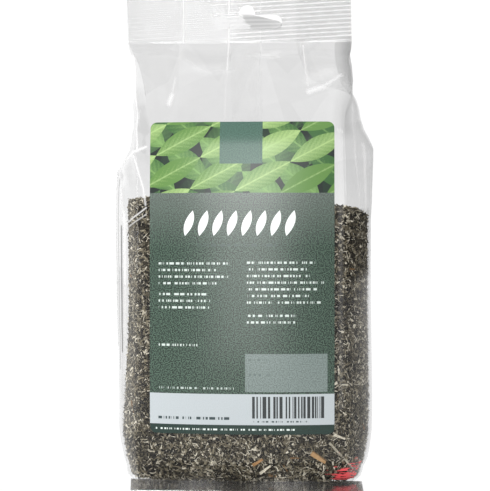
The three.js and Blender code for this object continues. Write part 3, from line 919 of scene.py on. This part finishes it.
# %% Cutting shapes
def cutting(name, length, width, curl, twist, tip, thickness, steps=2):
    def place(u, v):
        taper = 1 - (1 - tip) * u
        x = (u - 0.5) * length
        y = (v - 0.5) * width * taper + twist * (u - 0.5) ** 2 * width
        z = curl * (1 - (2 * u - 1) ** 2)
        return x, y, z

    obj = sheet(name, steps, 1, place)
    finish_with(obj, "SOLIDIFY", thickness=thickness * MM, offset=0)
    return obj


def shapes(name, members):
    box = bpy.data.collections.new(name)
    bpy.context.scene.collection.children.link(box)
    for obj in members:
        for owner in list(obj.users_collection):
            owner.objects.unlink(obj)
        box.objects.link(obj)
    return box


def shred(name, length, width, tip):
    """A thin three-sided shred, tapered to one end."""
    bpy.ops.object.select_all(action="DESELECT")
    bpy.ops.mesh.primitive_cylinder_add(
        vertices=3, radius=width / 2 * MM, depth=length * MM, rotation=(0, math.pi / 2, 0),
    )
    obj = bpy.context.object
    obj.name = name
    bpy.ops.object.transform_apply(location=False, rotation=True, scale=False)
    for point in obj.data.vertices:
        if point.co.x > 0:
            point.co.y *= tip
            point.co.z *= tip
    return obj


leaf_shapes = shapes("leaf_shapes", [
    cutting("leaf_a", 2.2, 0.8, 0.2, 0.2, 0.5, 0.2),
    cutting("leaf_b", 2.8, 0.65, 0.25, -0.2, 0.35, 0.2),
    cutting("leaf_c", 1.6, 1.1, 0.15, 0.3, 0.7, 0.2),
])
flake_shapes = shapes("flake_shapes", [
    cutting("flake_a", 1.3, 0.9, 0, 0, 0.5, 0.2, 1),
    cutting("flake_b", 1.8, 0.7, 0, 0, 0.3, 0.2, 1),
    cutting("flake_c", 0.9, 0.8, 0, 0, 0.8, 0.2, 1),
])
shred_shapes = shapes("shred_shapes", [
    shred("shred_a", 2.6, 0.5, 0.5),
    shred("shred_b", 1.6, 0.6, 0.4),
    shred("shred_c", 3.4, 0.45, 0.7),
])
stalk_shapes = shapes("stalk_shapes", [
    cutting("stalk_a", 5.0, 0.8, 0.2, 0.1, 0.9, 0.6),
    cutting("stalk_b", 3.5, 1.1, 0.1, -0.2, 0.8, 0.5),
])


# %% Scatter
def scatter(name, box, count, seed, tilt, size, finish, tones):
    """Copies of the shapes in box, spread over the heap and joined into one piece."""
    only(heap)
    bpy.ops.object.duplicate()
    obj = bpy.context.object
    obj.name = name
    area = sum(face.area for face in obj.data.polygons)
    tree = bpy.data.node_groups.new(name, "GeometryNodeTree")
    tree.interface.new_socket("Geometry", in_out="INPUT", socket_type="NodeSocketGeometry")
    tree.interface.new_socket("Geometry", in_out="OUTPUT", socket_type="NodeSocketGeometry")
    start = add(tree, "NodeGroupInput")
    spots = add(tree, "GeometryNodeDistributePointsOnFaces", None, {
        "Mesh": start.outputs[0], "Density": count / area, "Seed": seed,
    })
    lift = add(tree, "FunctionNodeRandomValue", None, {2: 0.0, 3: 0.9 * MM, "Seed": seed + 1})
    outwards = add(tree, "ShaderNodeVectorMath", {"operation": "SCALE"}, {
        0: spots.outputs["Normal"], "Scale": lift.outputs[1],
    })
    raised = add(tree, "GeometryNodeSetPosition", None, {
        "Geometry": spots.outputs["Points"], "Offset": outwards.outputs[0],
    })
    turn = add(tree, "FunctionNodeRandomValue", {"data_type": "FLOAT_VECTOR"}, {
        0: (-tilt, -tilt, -math.pi), 1: (tilt, tilt, math.pi), "Seed": seed + 2,
    })
    euler = add(tree, "FunctionNodeEulerToRotation", None, {0: turn.outputs[0]})
    lie = add(tree, "FunctionNodeRotateRotation", {"rotation_space": "LOCAL"}, {
        0: spots.outputs["Rotation"], 1: euler.outputs[0],
    })
    scale = add(tree, "FunctionNodeRandomValue", {"data_type": "FLOAT_VECTOR"}, {
        0: (size[0],) * 3, 1: (size[1],) * 3, "Seed": seed + 3,
    })
    source = add(tree, "GeometryNodeCollectionInfo", None, {
        "Collection": box, "Separate Children": True, "Reset Children": True,
    })
    copies = add(tree, "GeometryNodeInstanceOnPoints", None, {
        "Points": raised.outputs[0], "Instance": source.outputs[0], "Pick Instance": True,
        "Rotation": lie.outputs[0], "Scale": scale.outputs[0],
    })
    tone = add(tree, "FunctionNodeRandomValue", None, {2: tones[0], 3: tones[1], "Seed": seed + 4})
    named = add(tree, "GeometryNodeStoreNamedAttribute", {"data_type": "FLOAT", "domain": "INSTANCE"}, {
        "Geometry": copies.outputs[0], "Name": "tone", "Value": tone.outputs[1],
    })
    whole = add(tree, "GeometryNodeRealizeInstances", None, {0: named.outputs[0]})
    add(tree, "NodeGroupOutput", None, {0: whole.outputs[0]})
    modifier = obj.modifiers.new("Scatter", "NODES")
    modifier.node_group = tree
    bpy.ops.object.modifier_apply(modifier=modifier.name)
    dress(obj, finish, "dried_sage")
    return obj


scatter("sage_dark_leaf", leaf_shapes, 9500, 11, 0.6, (0.7, 1.4), dried_leaf, (0.0, 0.7))
scatter("sage_pale_leaf", leaf_shapes, 4000, 23, 0.6, (0.7, 1.4), dried_leaf, (0.3, 1.0))
scatter("sage_flakes", flake_shapes, 15000, 29, 0.8, (0.6, 1.5), dried_leaf, (0.0, 1.0))
scatter("sage_shreds", shred_shapes, 22000, 37, 0.6, (0.6, 1.2), dried_leaf, (0.0, 0.9))
scatter("sage_pale_shreds", shred_shapes, 10000, 41, 0.7, (0.5, 1.1), dried_leaf, (0.5, 1.1))
stalks = scatter("sage_stalk_chips", stalk_shapes, 90, 53, 0.25, (0.6, 1.1), dried_stalk, (0.0, 1.0))

for box in (leaf_shapes, flake_shapes, shred_shapes, stalk_shapes):
    for obj in list(box.objects):
        bpy.data.objects.remove(obj)
    bpy.data.collections.remove(box)

# %% [markdown]
# ## Dried sage: large chips
#
# A few large chips of stalk lie against the film near the foot. Each is placed by its two ends, given
# like a fold by the distance round the film and the height, so that it lies along the film. They are
# joined to the scattered chips.

# %% Large chips
CHIP_WALL = 0.6
CHIPS = [
    # two ends as distance round and height, width, tone, finish
    ((83.9, 14.9), (90.5, 10.7), 2.0, 0.55, dried_stalk),
    ((84.6, 15.9), (91, 11.6), 0.5, 0.05, dried_stalk),
    ((56.1, 9.7), (60.8, 12.3), 1.4, 0.3, dried_stalk),
    ((59.5, 5.7), (64.6, 9.5), 1.2, 0.9, dried_leaf),
    ((94.9, 23), (100.1, 21), 1.2, 0.9, dried_leaf),
    ((92.7, 19.3), (106, 7), 0.9, 0.85, dried_leaf),
]


def inside_film(round_mm, z):
    """A point a little inside the film, in metres."""
    x, y = bag_at(np.array([round_mm]), np.array([z]), CHIP_WALL)
    return Vector((pressed(x, z)[0], y[0] + DEPTH_SHIFT, z)) * MM


for number, (start, end, width, tone, finish) in enumerate(CHIPS):
    first, last = inside_film(*start), inside_film(*end)
    chip = cutting("chip_%d" % number, (last - first).length / MM, width, 0.2, 0.1, 0.6, 0.7)
    mark(chip, "tone", np.full(len(chip.data.loops), tone))
    along_chip = (last - first).normalized()
    outwards = along_chip.cross(Vector((0, 0, 1))).normalized()
    chip.matrix_world = Matrix((along_chip, outwards.cross(along_chip), outwards)).transposed().to_4x4()
    chip.location = (first + last) / 2
    chip.data.materials.append(finish)
    only(chip)
    bpy.ops.object.transform_apply(location=True, rotation=True, scale=False)
    stalks.select_set(True)
    bpy.context.view_layer.objects.active = stalks
    bpy.ops.object.join()
print("chips now have", len(stalks.data.polygons), "faces")

# %% [markdown]
# ## Label: print
#
# The label is coated paper, printed in grey-green with a band of foliage across its top. Nothing is
# painted by hand: the print is worked out in millimetres from the label's lower left corner. Plain
# areas are boxes, lines of small type are broken dashes, and the foliage is three layers of one leaf
# outline, each on its own turned lattice.

# %% Label print
LABEL_LEFT = LABEL_X - LABEL_WIDTH / 2
PAPER_GRAIN = 0.5
GRAIN_GAIN = 12
GRAIN_LEVEL = 0.5
# painted sheen: over this height below the band the field turns paler and greyer, up to this share
FIELD_FADE = 24
FIELD_PAINTED_SHEEN = 0.28
BAND = 104
LEAF_LAYERS = [
    # turn in degrees, leaf width and spacing along, dark and light greens
    (28, 13, 27, "#1f3326", "#4d7044"),
    (-52, 12, 24, "#396333", "#7ba15d"),
    (62, 10, 27, "#5f8743", "#a4c17e"),
]
AREAS = [
    # dark and light of its mottle, left, right, low, high
    ("#3f5d51", "#4f6f62", 30.5, 49, 116.6, 135),
    ("#65726e", "#7f8c88", 41.7, 77, 18.4, 34.8),
    ("#b3babd", "#b7bec1", 0, 80, 4.1, 17.5),
    ("#08241c", "#12322a", 0, 80, 0, 4.1),
]
TYPE = [
    # colour, left, right, low, high, spacing of the rows, length of a dash
    ("#ccd6d1", 4, 37, 63.6, 75, 2.85, 2.6),
    ("#ccd6d1", 4, 31, 53.2, 61.7, 2.85, 3.1),
    ("#ccd6d1", 4, 26, 37, 39.9, 2.85, 2.4),
    ("#ccd6d1", 42.5, 76, 55.4, 75, 2.85, 2.7),
    ("#ccd6d1", 42.5, 70, 46.9, 52.6, 2.85, 2.3),
    ("#b9c4bf", 4, 37, 18.6, 21.2, 2.6, 1.9),
    ("#5d6b68", 43, 52, 31.0, 33.4, 2.4, 2.0),
    ("#5d6b68", 43, 54, 24.6, 27.0, 2.4, 2.2),
    ("#2c3d40", 2.6, 39, 5.2, 8.6, 3.4, 3.2),
    ("#3b4a4c", 44.7, 76.2, 4.6, 6.6, 2.0, 2.1),
    ("#dbe5e0", 2.6, 76, 1.0, 3.2, 2.2, 2.4),
    ("#3f5049", 21, 60, 79.7, 83.2, 3.5, 3.4),
]
STROKE = 0.36
WORD_GAP = 0.6
RAGGED = 0.25
BARS = ("#262b2c", 44.7, 76.2, 7.0, 16.4, 0.33)
TWIG = ("#f3f6f4", 15, 65, 85.4, 96.4, 6.25)


def inside(tree, x, y, left, right, low, high):
    across = add(tree, "ShaderNodeMath", {"operation": "COMPARE"}, {
        0: x, 1: (left + right) / 2, 2: (right - left) / 2,
    })
    up = add(tree, "ShaderNodeMath", {"operation": "COMPARE"}, {
        0: y, 1: (low + high) / 2, 2: (high - low) / 2,
    })
    both = add(tree, "ShaderNodeMath", {"operation": "MULTIPLY"}, {0: across.outputs[0], 1: up.outputs[0]})
    return both.outputs[0]


def leaf_outline(tree, across, up, slim):
    """1 inside a pointed leaf, for across from -0.5 to 0.5 and up from 0 to 1."""
    middle = add(tree, "ShaderNodeMath", {"operation": "MULTIPLY_ADD"}, {0: up, 1: 2.0, 2: -1.0})
    square = add(tree, "ShaderNodeMath", {"operation": "MULTIPLY"}, {
        0: middle.outputs[0], 1: middle.outputs[0],
    })
    half = add(tree, "ShaderNodeMath", {"operation": "MULTIPLY_ADD"}, {
        0: square.outputs[0], 1: -slim, 2: slim,
    })
    size = add(tree, "ShaderNodeMath", {"operation": "ABSOLUTE"}, {0: across})
    mask = add(tree, "ShaderNodeMath", {"operation": "LESS_THAN"}, {0: size.outputs[0], 1: half.outputs[0]})
    return mask.outputs[0], size.outputs[0]


def foliage(tree, place, grain, turn, width, length, dark, light):
    """The mask and colour of one layer of leaves on a turned lattice."""
    lattice = add(tree, "ShaderNodeMapping", {"vector_type": "TEXTURE"}, {
        "Vector": place, "Rotation": (0, math.radians(turn), 0), "Scale": (width, 1, length),
    })
    cell = add(tree, "ShaderNodeSeparateXYZ", None, {0: lattice.outputs[0]})
    column = add(tree, "ShaderNodeMath", {"operation": "FLOOR"}, {0: cell.outputs["X"]})
    stagger = add(tree, "ShaderNodeMath", {"operation": "MULTIPLY_ADD"}, {
        0: column.outputs[0], 1: 0.38, 2: cell.outputs["Z"],
    })
    row = add(tree, "ShaderNodeMath", {"operation": "FLOOR"}, {0: stagger.outputs[0]})
    inner = add(tree, "ShaderNodeMath", {"operation": "FRACT"}, {0: cell.outputs["X"]})
    across = add(tree, "ShaderNodeMath", {"operation": "SUBTRACT"}, {0: inner.outputs[0], 1: 0.5})
    up = add(tree, "ShaderNodeMath", {"operation": "FRACT"}, {0: stagger.outputs[0]})
    mask, size = leaf_outline(tree, across.outputs[0], up.outputs[0], 0.46)
    name = add(tree, "ShaderNodeCombineXYZ", None, {0: column.outputs[0], 1: row.outputs[0], 2: turn})
    chance = add(tree, "ShaderNodeTexWhiteNoise", None, {"Vector": name.outputs[0]})
    slant = add(tree, "ShaderNodeMath", {"operation": "MULTIPLY"}, {0: up.outputs[0], 1: 9.0})
    lean = add(tree, "ShaderNodeMath", {"operation": "MULTIPLY_ADD"}, {0: size, 1: -5.0, 2: slant.outputs[0]})
    vein = add(tree, "ShaderNodeMath", {"operation": "PINGPONG"}, {0: lean.outputs[0], 1: 0.5})
    rib = add(tree, "ShaderNodeMath", {"operation": "LESS_THAN"}, {0: size, 1: 0.03})
    value = chance.outputs["Value"]
    for part, amount in ((vein, -0.45), (rib, 0.45), (grain, 0.9)):
        sum_up = add(tree, "ShaderNodeMath", {"operation": "MULTIPLY_ADD"}, {
            0: part.outputs[0], 1: amount, 2: value,
        })
        value = sum_up.outputs[0]
    lit = add(tree, "ShaderNodeMath", {"operation": "MULTIPLY_ADD", "use_clamp": True}, {
        0: size, 1: -0.9, 2: value,
    })
    colour = add(tree, "ShaderNodeMix", {"data_type": "RGBA"}, {
        "Factor": lit.outputs[0], 6: linear(dark), 7: linear(light),
    })
    return mask, colour.outputs[2]


def dashes(tree, x, y, left, right, low, pitch, word):
    """1 on the broken lines that stand for small type."""
    from_low = add(tree, "ShaderNodeMath", {"operation": "SUBTRACT"}, {0: y, 1: low})
    rows = add(tree, "ShaderNodeMath", {"operation": "DIVIDE"}, {0: from_low.outputs[0], 1: pitch})
    row = add(tree, "ShaderNodeMath", {"operation": "FLOOR"}, {0: rows.outputs[0]})
    height = add(tree, "ShaderNodeMath", {"operation": "FRACT"}, {0: rows.outputs[0]})
    line = add(tree, "ShaderNodeMath", {"operation": "COMPARE"}, {0: height.outputs[0], 1: 0.5, 2: 0.17})
    seed = add(tree, "ShaderNodeCombineXYZ", None, {0: row.outputs[0], 1: low, 2: left})
    length = add(tree, "ShaderNodeTexWhiteNoise", None, {"Vector": seed.outputs[0]})
    end = add(tree, "ShaderNodeMath", {"operation": "MULTIPLY_ADD"}, {
        0: length.outputs["Value"], 1: RAGGED * (left - right), 2: right,
    })
    short = add(tree, "ShaderNodeMath", {"operation": "LESS_THAN"}, {0: x, 1: end.outputs[0]})
    place = add(tree, "ShaderNodeMath", {"operation": "MULTIPLY_ADD"}, {
        0: length.outputs["Value"], 1: 9.0, 2: x,
    })
    letters = add(tree, "ShaderNodeMath", {"operation": "DIVIDE"}, {0: place.outputs[0], 1: STROKE})
    letter = add(tree, "ShaderNodeMath", {"operation": "FLOOR"}, {0: letters.outputs[0]})
    name = add(tree, "ShaderNodeCombineXYZ", None, {0: letter.outputs[0], 1: row.outputs[0], 2: low})
    chance = add(tree, "ShaderNodeTexWhiteNoise", None, {"Vector": name.outputs[0]})
    drawn = add(tree, "ShaderNodeMath", {"operation": "GREATER_THAN"}, {0: chance.outputs["Value"], 1: 0.28})
    masks = [line.outputs[0], short.outputs[0], drawn.outputs[0]]
    for period in (word, 1.7 * word):
        words = add(tree, "ShaderNodeMath", {"operation": "DIVIDE"}, {0: place.outputs[0], 1: period})
        part = add(tree, "ShaderNodeMath", {"operation": "FRACT"}, {0: words.outputs[0]})
        gap = add(tree, "ShaderNodeMath", {"operation": "GREATER_THAN"}, {
            0: part.outputs[0], 1: WORD_GAP / period,
        })
        masks.append(gap.outputs[0])
    ink = masks[0]
    for mask in masks[1:]:
        both = add(tree, "ShaderNodeMath", {"operation": "MULTIPLY"}, {0: ink, 1: mask})
        ink = both.outputs[0]
    return ink


def label_layers(tree, place, grain, speck, x, y):
    """Each layer of the print as a mask and a colour, from the paper up."""
    layers = []
    band = inside(tree, x, y, 0, LABEL_WIDTH, BAND, LABEL_HEIGHT)
    layers.append((band, linear("#1b2622")))
    for turn, width, length, dark, light in LEAF_LAYERS:
        mask, colour = foliage(tree, place, grain, turn, width, length, dark, light)
        both = add(tree, "ShaderNodeMath", {"operation": "MULTIPLY"}, {0: mask, 1: band})
        layers.append((both.outputs[0], colour))
    for dark, light, *box in AREAS:
        mottled = add(tree, "ShaderNodeMix", {"data_type": "RGBA"}, {
            "Factor": speck, 6: linear(dark), 7: linear(light),
        })
        layers.append((inside(tree, x, y, *box), mottled.outputs[2]))
    for colour, left, right, low, high, pitch, word in TYPE:
        box = inside(tree, x, y, left, right, low, high)
        ink = dashes(tree, x, y, left, right, low, pitch, word)
        both = add(tree, "ShaderNodeMath", {"operation": "MULTIPLY"}, {0: box, 1: ink})
        layers.append((both.outputs[0], linear(colour)))
    colour, left, right, low, high, step = BARS
    steps = add(tree, "ShaderNodeMath", {"operation": "DIVIDE"}, {0: x, 1: step})
    bar = add(tree, "ShaderNodeMath", {"operation": "FLOOR"}, {0: steps.outputs[0]})
    chance = add(tree, "ShaderNodeTexWhiteNoise", {"noise_dimensions": "1D"}, {"W": bar.outputs[0]})
    dark = add(tree, "ShaderNodeMath", {"operation": "GREATER_THAN"}, {0: chance.outputs["Value"], 1: 0.45})
    box = inside(tree, x, y, left, right, low, high)
    both = add(tree, "ShaderNodeMath", {"operation": "MULTIPLY"}, {0: box, 1: dark.outputs[0]})
    layers.append((both.outputs[0], linear(colour)))
    colour, left, right, low, high, step = TWIG
    from_low = add(tree, "ShaderNodeMath", {"operation": "SUBTRACT"}, {0: y, 1: low})
    up = add(tree, "ShaderNodeMath", {"operation": "DIVIDE"}, {0: from_low.outputs[0], 1: high - low})
    steps = add(tree, "ShaderNodeMath", {"operation": "DIVIDE"}, {0: x, 1: step})
    slant = add(tree, "ShaderNodeMath", {"operation": "MULTIPLY_ADD"}, {
        0: up.outputs[0], 1: -0.55, 2: steps.outputs[0],
    })
    inner = add(tree, "ShaderNodeMath", {"operation": "FRACT"}, {0: slant.outputs[0]})
    across = add(tree, "ShaderNodeMath", {"operation": "SUBTRACT"}, {0: inner.outputs[0], 1: 0.5})
    leaf, _ = leaf_outline(tree, across.outputs[0], up.outputs[0], 0.3)
    box = inside(tree, x, y, left, right, low, high)
    both = add(tree, "ShaderNodeMath", {"operation": "MULTIPLY"}, {0: box, 1: leaf})
    layers.append((both.outputs[0], linear(colour)))
    return layers


def label_finish():
    made, tree = material("printed_coated_paper")
    place = add(tree, "ShaderNodeTexCoord")
    millimetres = add(tree, "ShaderNodeMapping", None, {
        "Vector": place.outputs["Object"], "Location": (-LABEL_LEFT, 0, -LABEL_BOTTOM),
        "Scale": (1 / MM,) * 3,
    })
    flat = add(tree, "ShaderNodeVectorMath", {"operation": "MULTIPLY"}, {
        0: millimetres.outputs[0], 1: (1, 0, 1),
    })
    spot = add(tree, "ShaderNodeSeparateXYZ", None, {0: flat.outputs[0]})
    x, y = spot.outputs["X"], spot.outputs["Z"]
    noise = add(tree, "ShaderNodeTexNoise", None, {
        "Vector": flat.outputs[0], "Scale": 1 / PAPER_GRAIN, "Detail": 2.0,
    })
    grain = add(tree, "ShaderNodeMath", {"operation": "SUBTRACT"}, {0: noise.outputs["Fac"], 1: 0.5})
    speckled = add(tree, "ShaderNodeMath", {"operation": "MULTIPLY_ADD"}, {
        0: grain.outputs[0], 1: GRAIN_GAIN, 2: GRAIN_LEVEL,
    })
    field = add(tree, "ShaderNodeMix", {"data_type": "RGBA"}, {
        "Factor": speckled.outputs[0], 6: linear("#05140d"), 7: linear("#4c6455"),
    })
    # painted sheen: the field grows paler and greyer towards the leaf band, for the light the label's top
    # catches
    fade = add(tree, "ShaderNodeMapRange", None, {
        "Value": y, "From Min": BAND - FIELD_FADE, "From Max": BAND, "To Min": 0.0, "To Max": FIELD_PAINTED_SHEEN,
    })
    painted_sheen_field = add(tree, "ShaderNodeMix", {"data_type": "RGBA"}, {
        "Factor": fade.outputs[0], 6: field.outputs[2], 7: linear("#979c98"),
    })
    colour = painted_sheen_field.outputs[2]
    for mask, print_colour in label_layers(tree, flat.outputs[0], grain, speckled.outputs[0], x, y):
        printed = add(tree, "ShaderNodeMix", {"data_type": "RGBA"}, {
            "Factor": mask, 6: colour, 7: print_colour,
        })
        colour = printed.outputs[2]
    relief = add(
        tree, "ShaderNodeBump", None, {"Height": noise.outputs["Fac"]}, Strength=0.3, Distance=0.15 * MM,
    )
    paper = add(
        tree, "ShaderNodeBsdfPrincipled", None, {"Base Color": colour, "Coat Normal": relief.outputs[0]},
        Roughness=0.6, Specular_IOR_Level=0.05, Coat_Weight=1.0, Coat_Roughness=0.31,
    )
    add(tree, "ShaderNodeOutputMaterial", None, {"Surface": paper.outputs[0]})
    return made


# %% [markdown]
# ## Label: paper
#
# The paper is a grid that follows the front of the bag a hair in front of the film. Its corners are
# rounded by drawing the points of each corner square in towards a quarter circle, and a thin wall
# makes it a sheet of paper with an edge. From behind, through the empty top of the bag, its gummed back
# shows: bare white paper, a little cloudy from its fibres.

# %% Label paper
LABEL_CORNER = 2.8
LABEL_LIFT = 0.3
PAPER = 0.16
FIBRE_CLOUD = 2.5


def paper_back():
    made, tree = material("bare_paper_back")
    place = add(tree, "ShaderNodeTexCoord")
    cloud = add(tree, "ShaderNodeTexNoise", None, {
        "Vector": place.outputs["Object"], "Scale": 1 / (FIBRE_CLOUD * MM), "Detail": 4.0,
    })
    colour = add(tree, "ShaderNodeMix", {"data_type": "RGBA"}, {
        "Factor": cloud.outputs["Fac"], 6: linear("#d9d7d0"), 7: linear("#f6f5f1"),
    })
    paper = add(tree, "ShaderNodeBsdfPrincipled", None, {"Base Color": colour.outputs[2]}, Roughness=0.7)
    add(tree, "ShaderNodeOutputMaterial", None, {"Surface": paper.outputs[0]})
    return made


def label_place(u, v):
    x = LABEL_WIDTH * (u - 0.5)
    z = LABEL_HEIGHT * (v - 0.5)
    corner_x = np.sign(x) * (LABEL_WIDTH / 2 - LABEL_CORNER)
    corner_z = np.sign(z) * (LABEL_HEIGHT / 2 - LABEL_CORNER)
    far_x, far_z = x - corner_x, z - corner_z
    in_corner = (far_x * np.sign(x) > 0) & (far_z * np.sign(z) > 0)
    radius = np.maximum(np.abs(far_x), np.abs(far_z))
    pull = np.where(in_corner, radius / np.maximum(np.hypot(far_x, far_z), 1e-6), 1)
    x = np.where(in_corner, corner_x + far_x * pull, x) + LABEL_X
    z = np.where(in_corner, corner_z + far_z * pull, z) + LABEL_BOTTOM + LABEL_HEIGHT / 2
    return x, -panel_depth(x, z, 4) - LABEL_LIFT + DEPTH_SHIFT, z


label = sheet("front_label", 120, 200, label_place)
finish_with(label, "SOLIDIFY", thickness=PAPER * MM, offset=0)
bpy.ops.object.shade_smooth_by_angle(angle=math.radians(40))
dress(label, label_finish(), "front_label")
label.data.materials.append(paper_back())
for face in label.data.polygons:
    if face.normal.y > 0.5:
        face.material_index = 1

# %% [markdown]
# ## Floor and light
#
# Clear film is seen by what it mirrors. The sky behind the bag is white and the side in front of it is
# darker, so the film's edges draw themselves in grey. The left is the bright side and the right the dim
# one, and soft boxes leave white streaks along the folds. The floor is lit from below and has no gloss,
# as tables for product pictures are, and the backdrop that the camera sees is plain white.

# %% Floor and light
bpy.ops.object.select_all(action="DESELECT")
bpy.ops.mesh.primitive_plane_add(size=6)
floor = bpy.context.object
floor.name = "floor"
floor_paint, floor_tree = material("pale_floor")
floor_shader = add(
    floor_tree, "ShaderNodeBsdfPrincipled", Base_Color=linear("#2a2a2a"), Roughness=1.0,
    Specular_IOR_Level=0.0, Emission_Color=(1, 1, 1, 1), Emission_Strength=1.0,
)
add(floor_tree, "ShaderNodeOutputMaterial", None, {"Surface": floor_shader.outputs[0]})
floor.data.materials.append(floor_paint)

world = bpy.data.worlds.new("studio")
world.use_nodes = True
world.node_tree.nodes.clear()
sky = world.node_tree
direction = add(sky, "ShaderNodeTexCoord")
parts = add(sky, "ShaderNodeSeparateXYZ", None, {0: direction.outputs["Generated"]})
depth = add(sky, "ShaderNodeMapRange", {"interpolation_type": "SMOOTHSTEP"}, {
    "Value": parts.outputs["Y"], "From Min": -0.6, "From Max": 0.5, "To Min": 0.22, "To Max": 1.05,
})
height = add(sky, "ShaderNodeMapRange", {"interpolation_type": "SMOOTHSTEP"}, {
    "Value": parts.outputs["Z"], "From Min": 0.35, "From Max": 1.0, "To Min": 0.0, "To Max": 0.8,
})
both = add(sky, "ShaderNodeMath", {"operation": "ADD"}, {0: depth.outputs[0], 1: height.outputs[0]})
side = add(sky, "ShaderNodeMapRange", {"interpolation_type": "SMOOTHSTEP"}, {
    "Value": parts.outputs["X"], "From Min": 0.2, "From Max": 0.7, "To Min": 1.0, "To Max": 0.08,
})
bright_side = add(sky, "ShaderNodeMapRange", {"interpolation_type": "SMOOTHSTEP"}, {
    "Value": parts.outputs["X"], "From Min": -0.7, "From Max": -0.25, "To Min": 1.5, "To Max": 1.0,
})
sides = add(sky, "ShaderNodeMath", {"operation": "MULTIPLY"}, {0: side.outputs[0], 1: bright_side.outputs[0]})
shaded = add(sky, "ShaderNodeMath", {"operation": "MULTIPLY"}, {0: both.outputs[0], 1: sides.outputs[0]})
rays = add(sky, "ShaderNodeLightPath")
backdrop = add(sky, "ShaderNodeMix", None, {
    "Factor": rays.outputs["Is Camera Ray"], 2: shaded.outputs[0], 3: 1.05,
})
light = add(sky, "ShaderNodeBackground", None, {"Strength": backdrop.outputs[0]}, Color=(1, 1, 1, 1))
add(sky, "ShaderNodeOutputWorld", None, {"Surface": light.outputs[0]})
bpy.context.scene.world = world


def soft_box(name, place, aim, width, height, power):
    data = bpy.data.lights.new(name, "AREA")
    data.shape = "RECTANGLE"
    data.size = width
    data.size_y = height
    data.energy = power
    lamp = bpy.data.objects.new(name, data)
    bpy.context.collection.objects.link(lamp)
    lamp.location = place
    lamp.rotation_euler = (Vector(aim) - Vector(place)).to_track_quat("-Z", "Y").to_euler()


soft_box("left_box", (-1.0, -0.5, 0.6), (0, 0, 0.1), 0.6, 1.2, 8)
soft_box("right_box", (0.85, -1.4, 0.4), (0, 0, 0.1), 0.3, 1.2, 0.5)
soft_box("front_box", (-0.05, -1.7, 0.35), (0, 0, 0.1), 0.5, 1.2, 18)
soft_box("top_box", (0, 0.8, 1.3), (0, 0, 0), 1.2, 1.0, 1.5)
bpy.context.scene.view_settings.view_transform = "Standard"
bpy.context.scene.cycles.transparent_max_bounces = 32
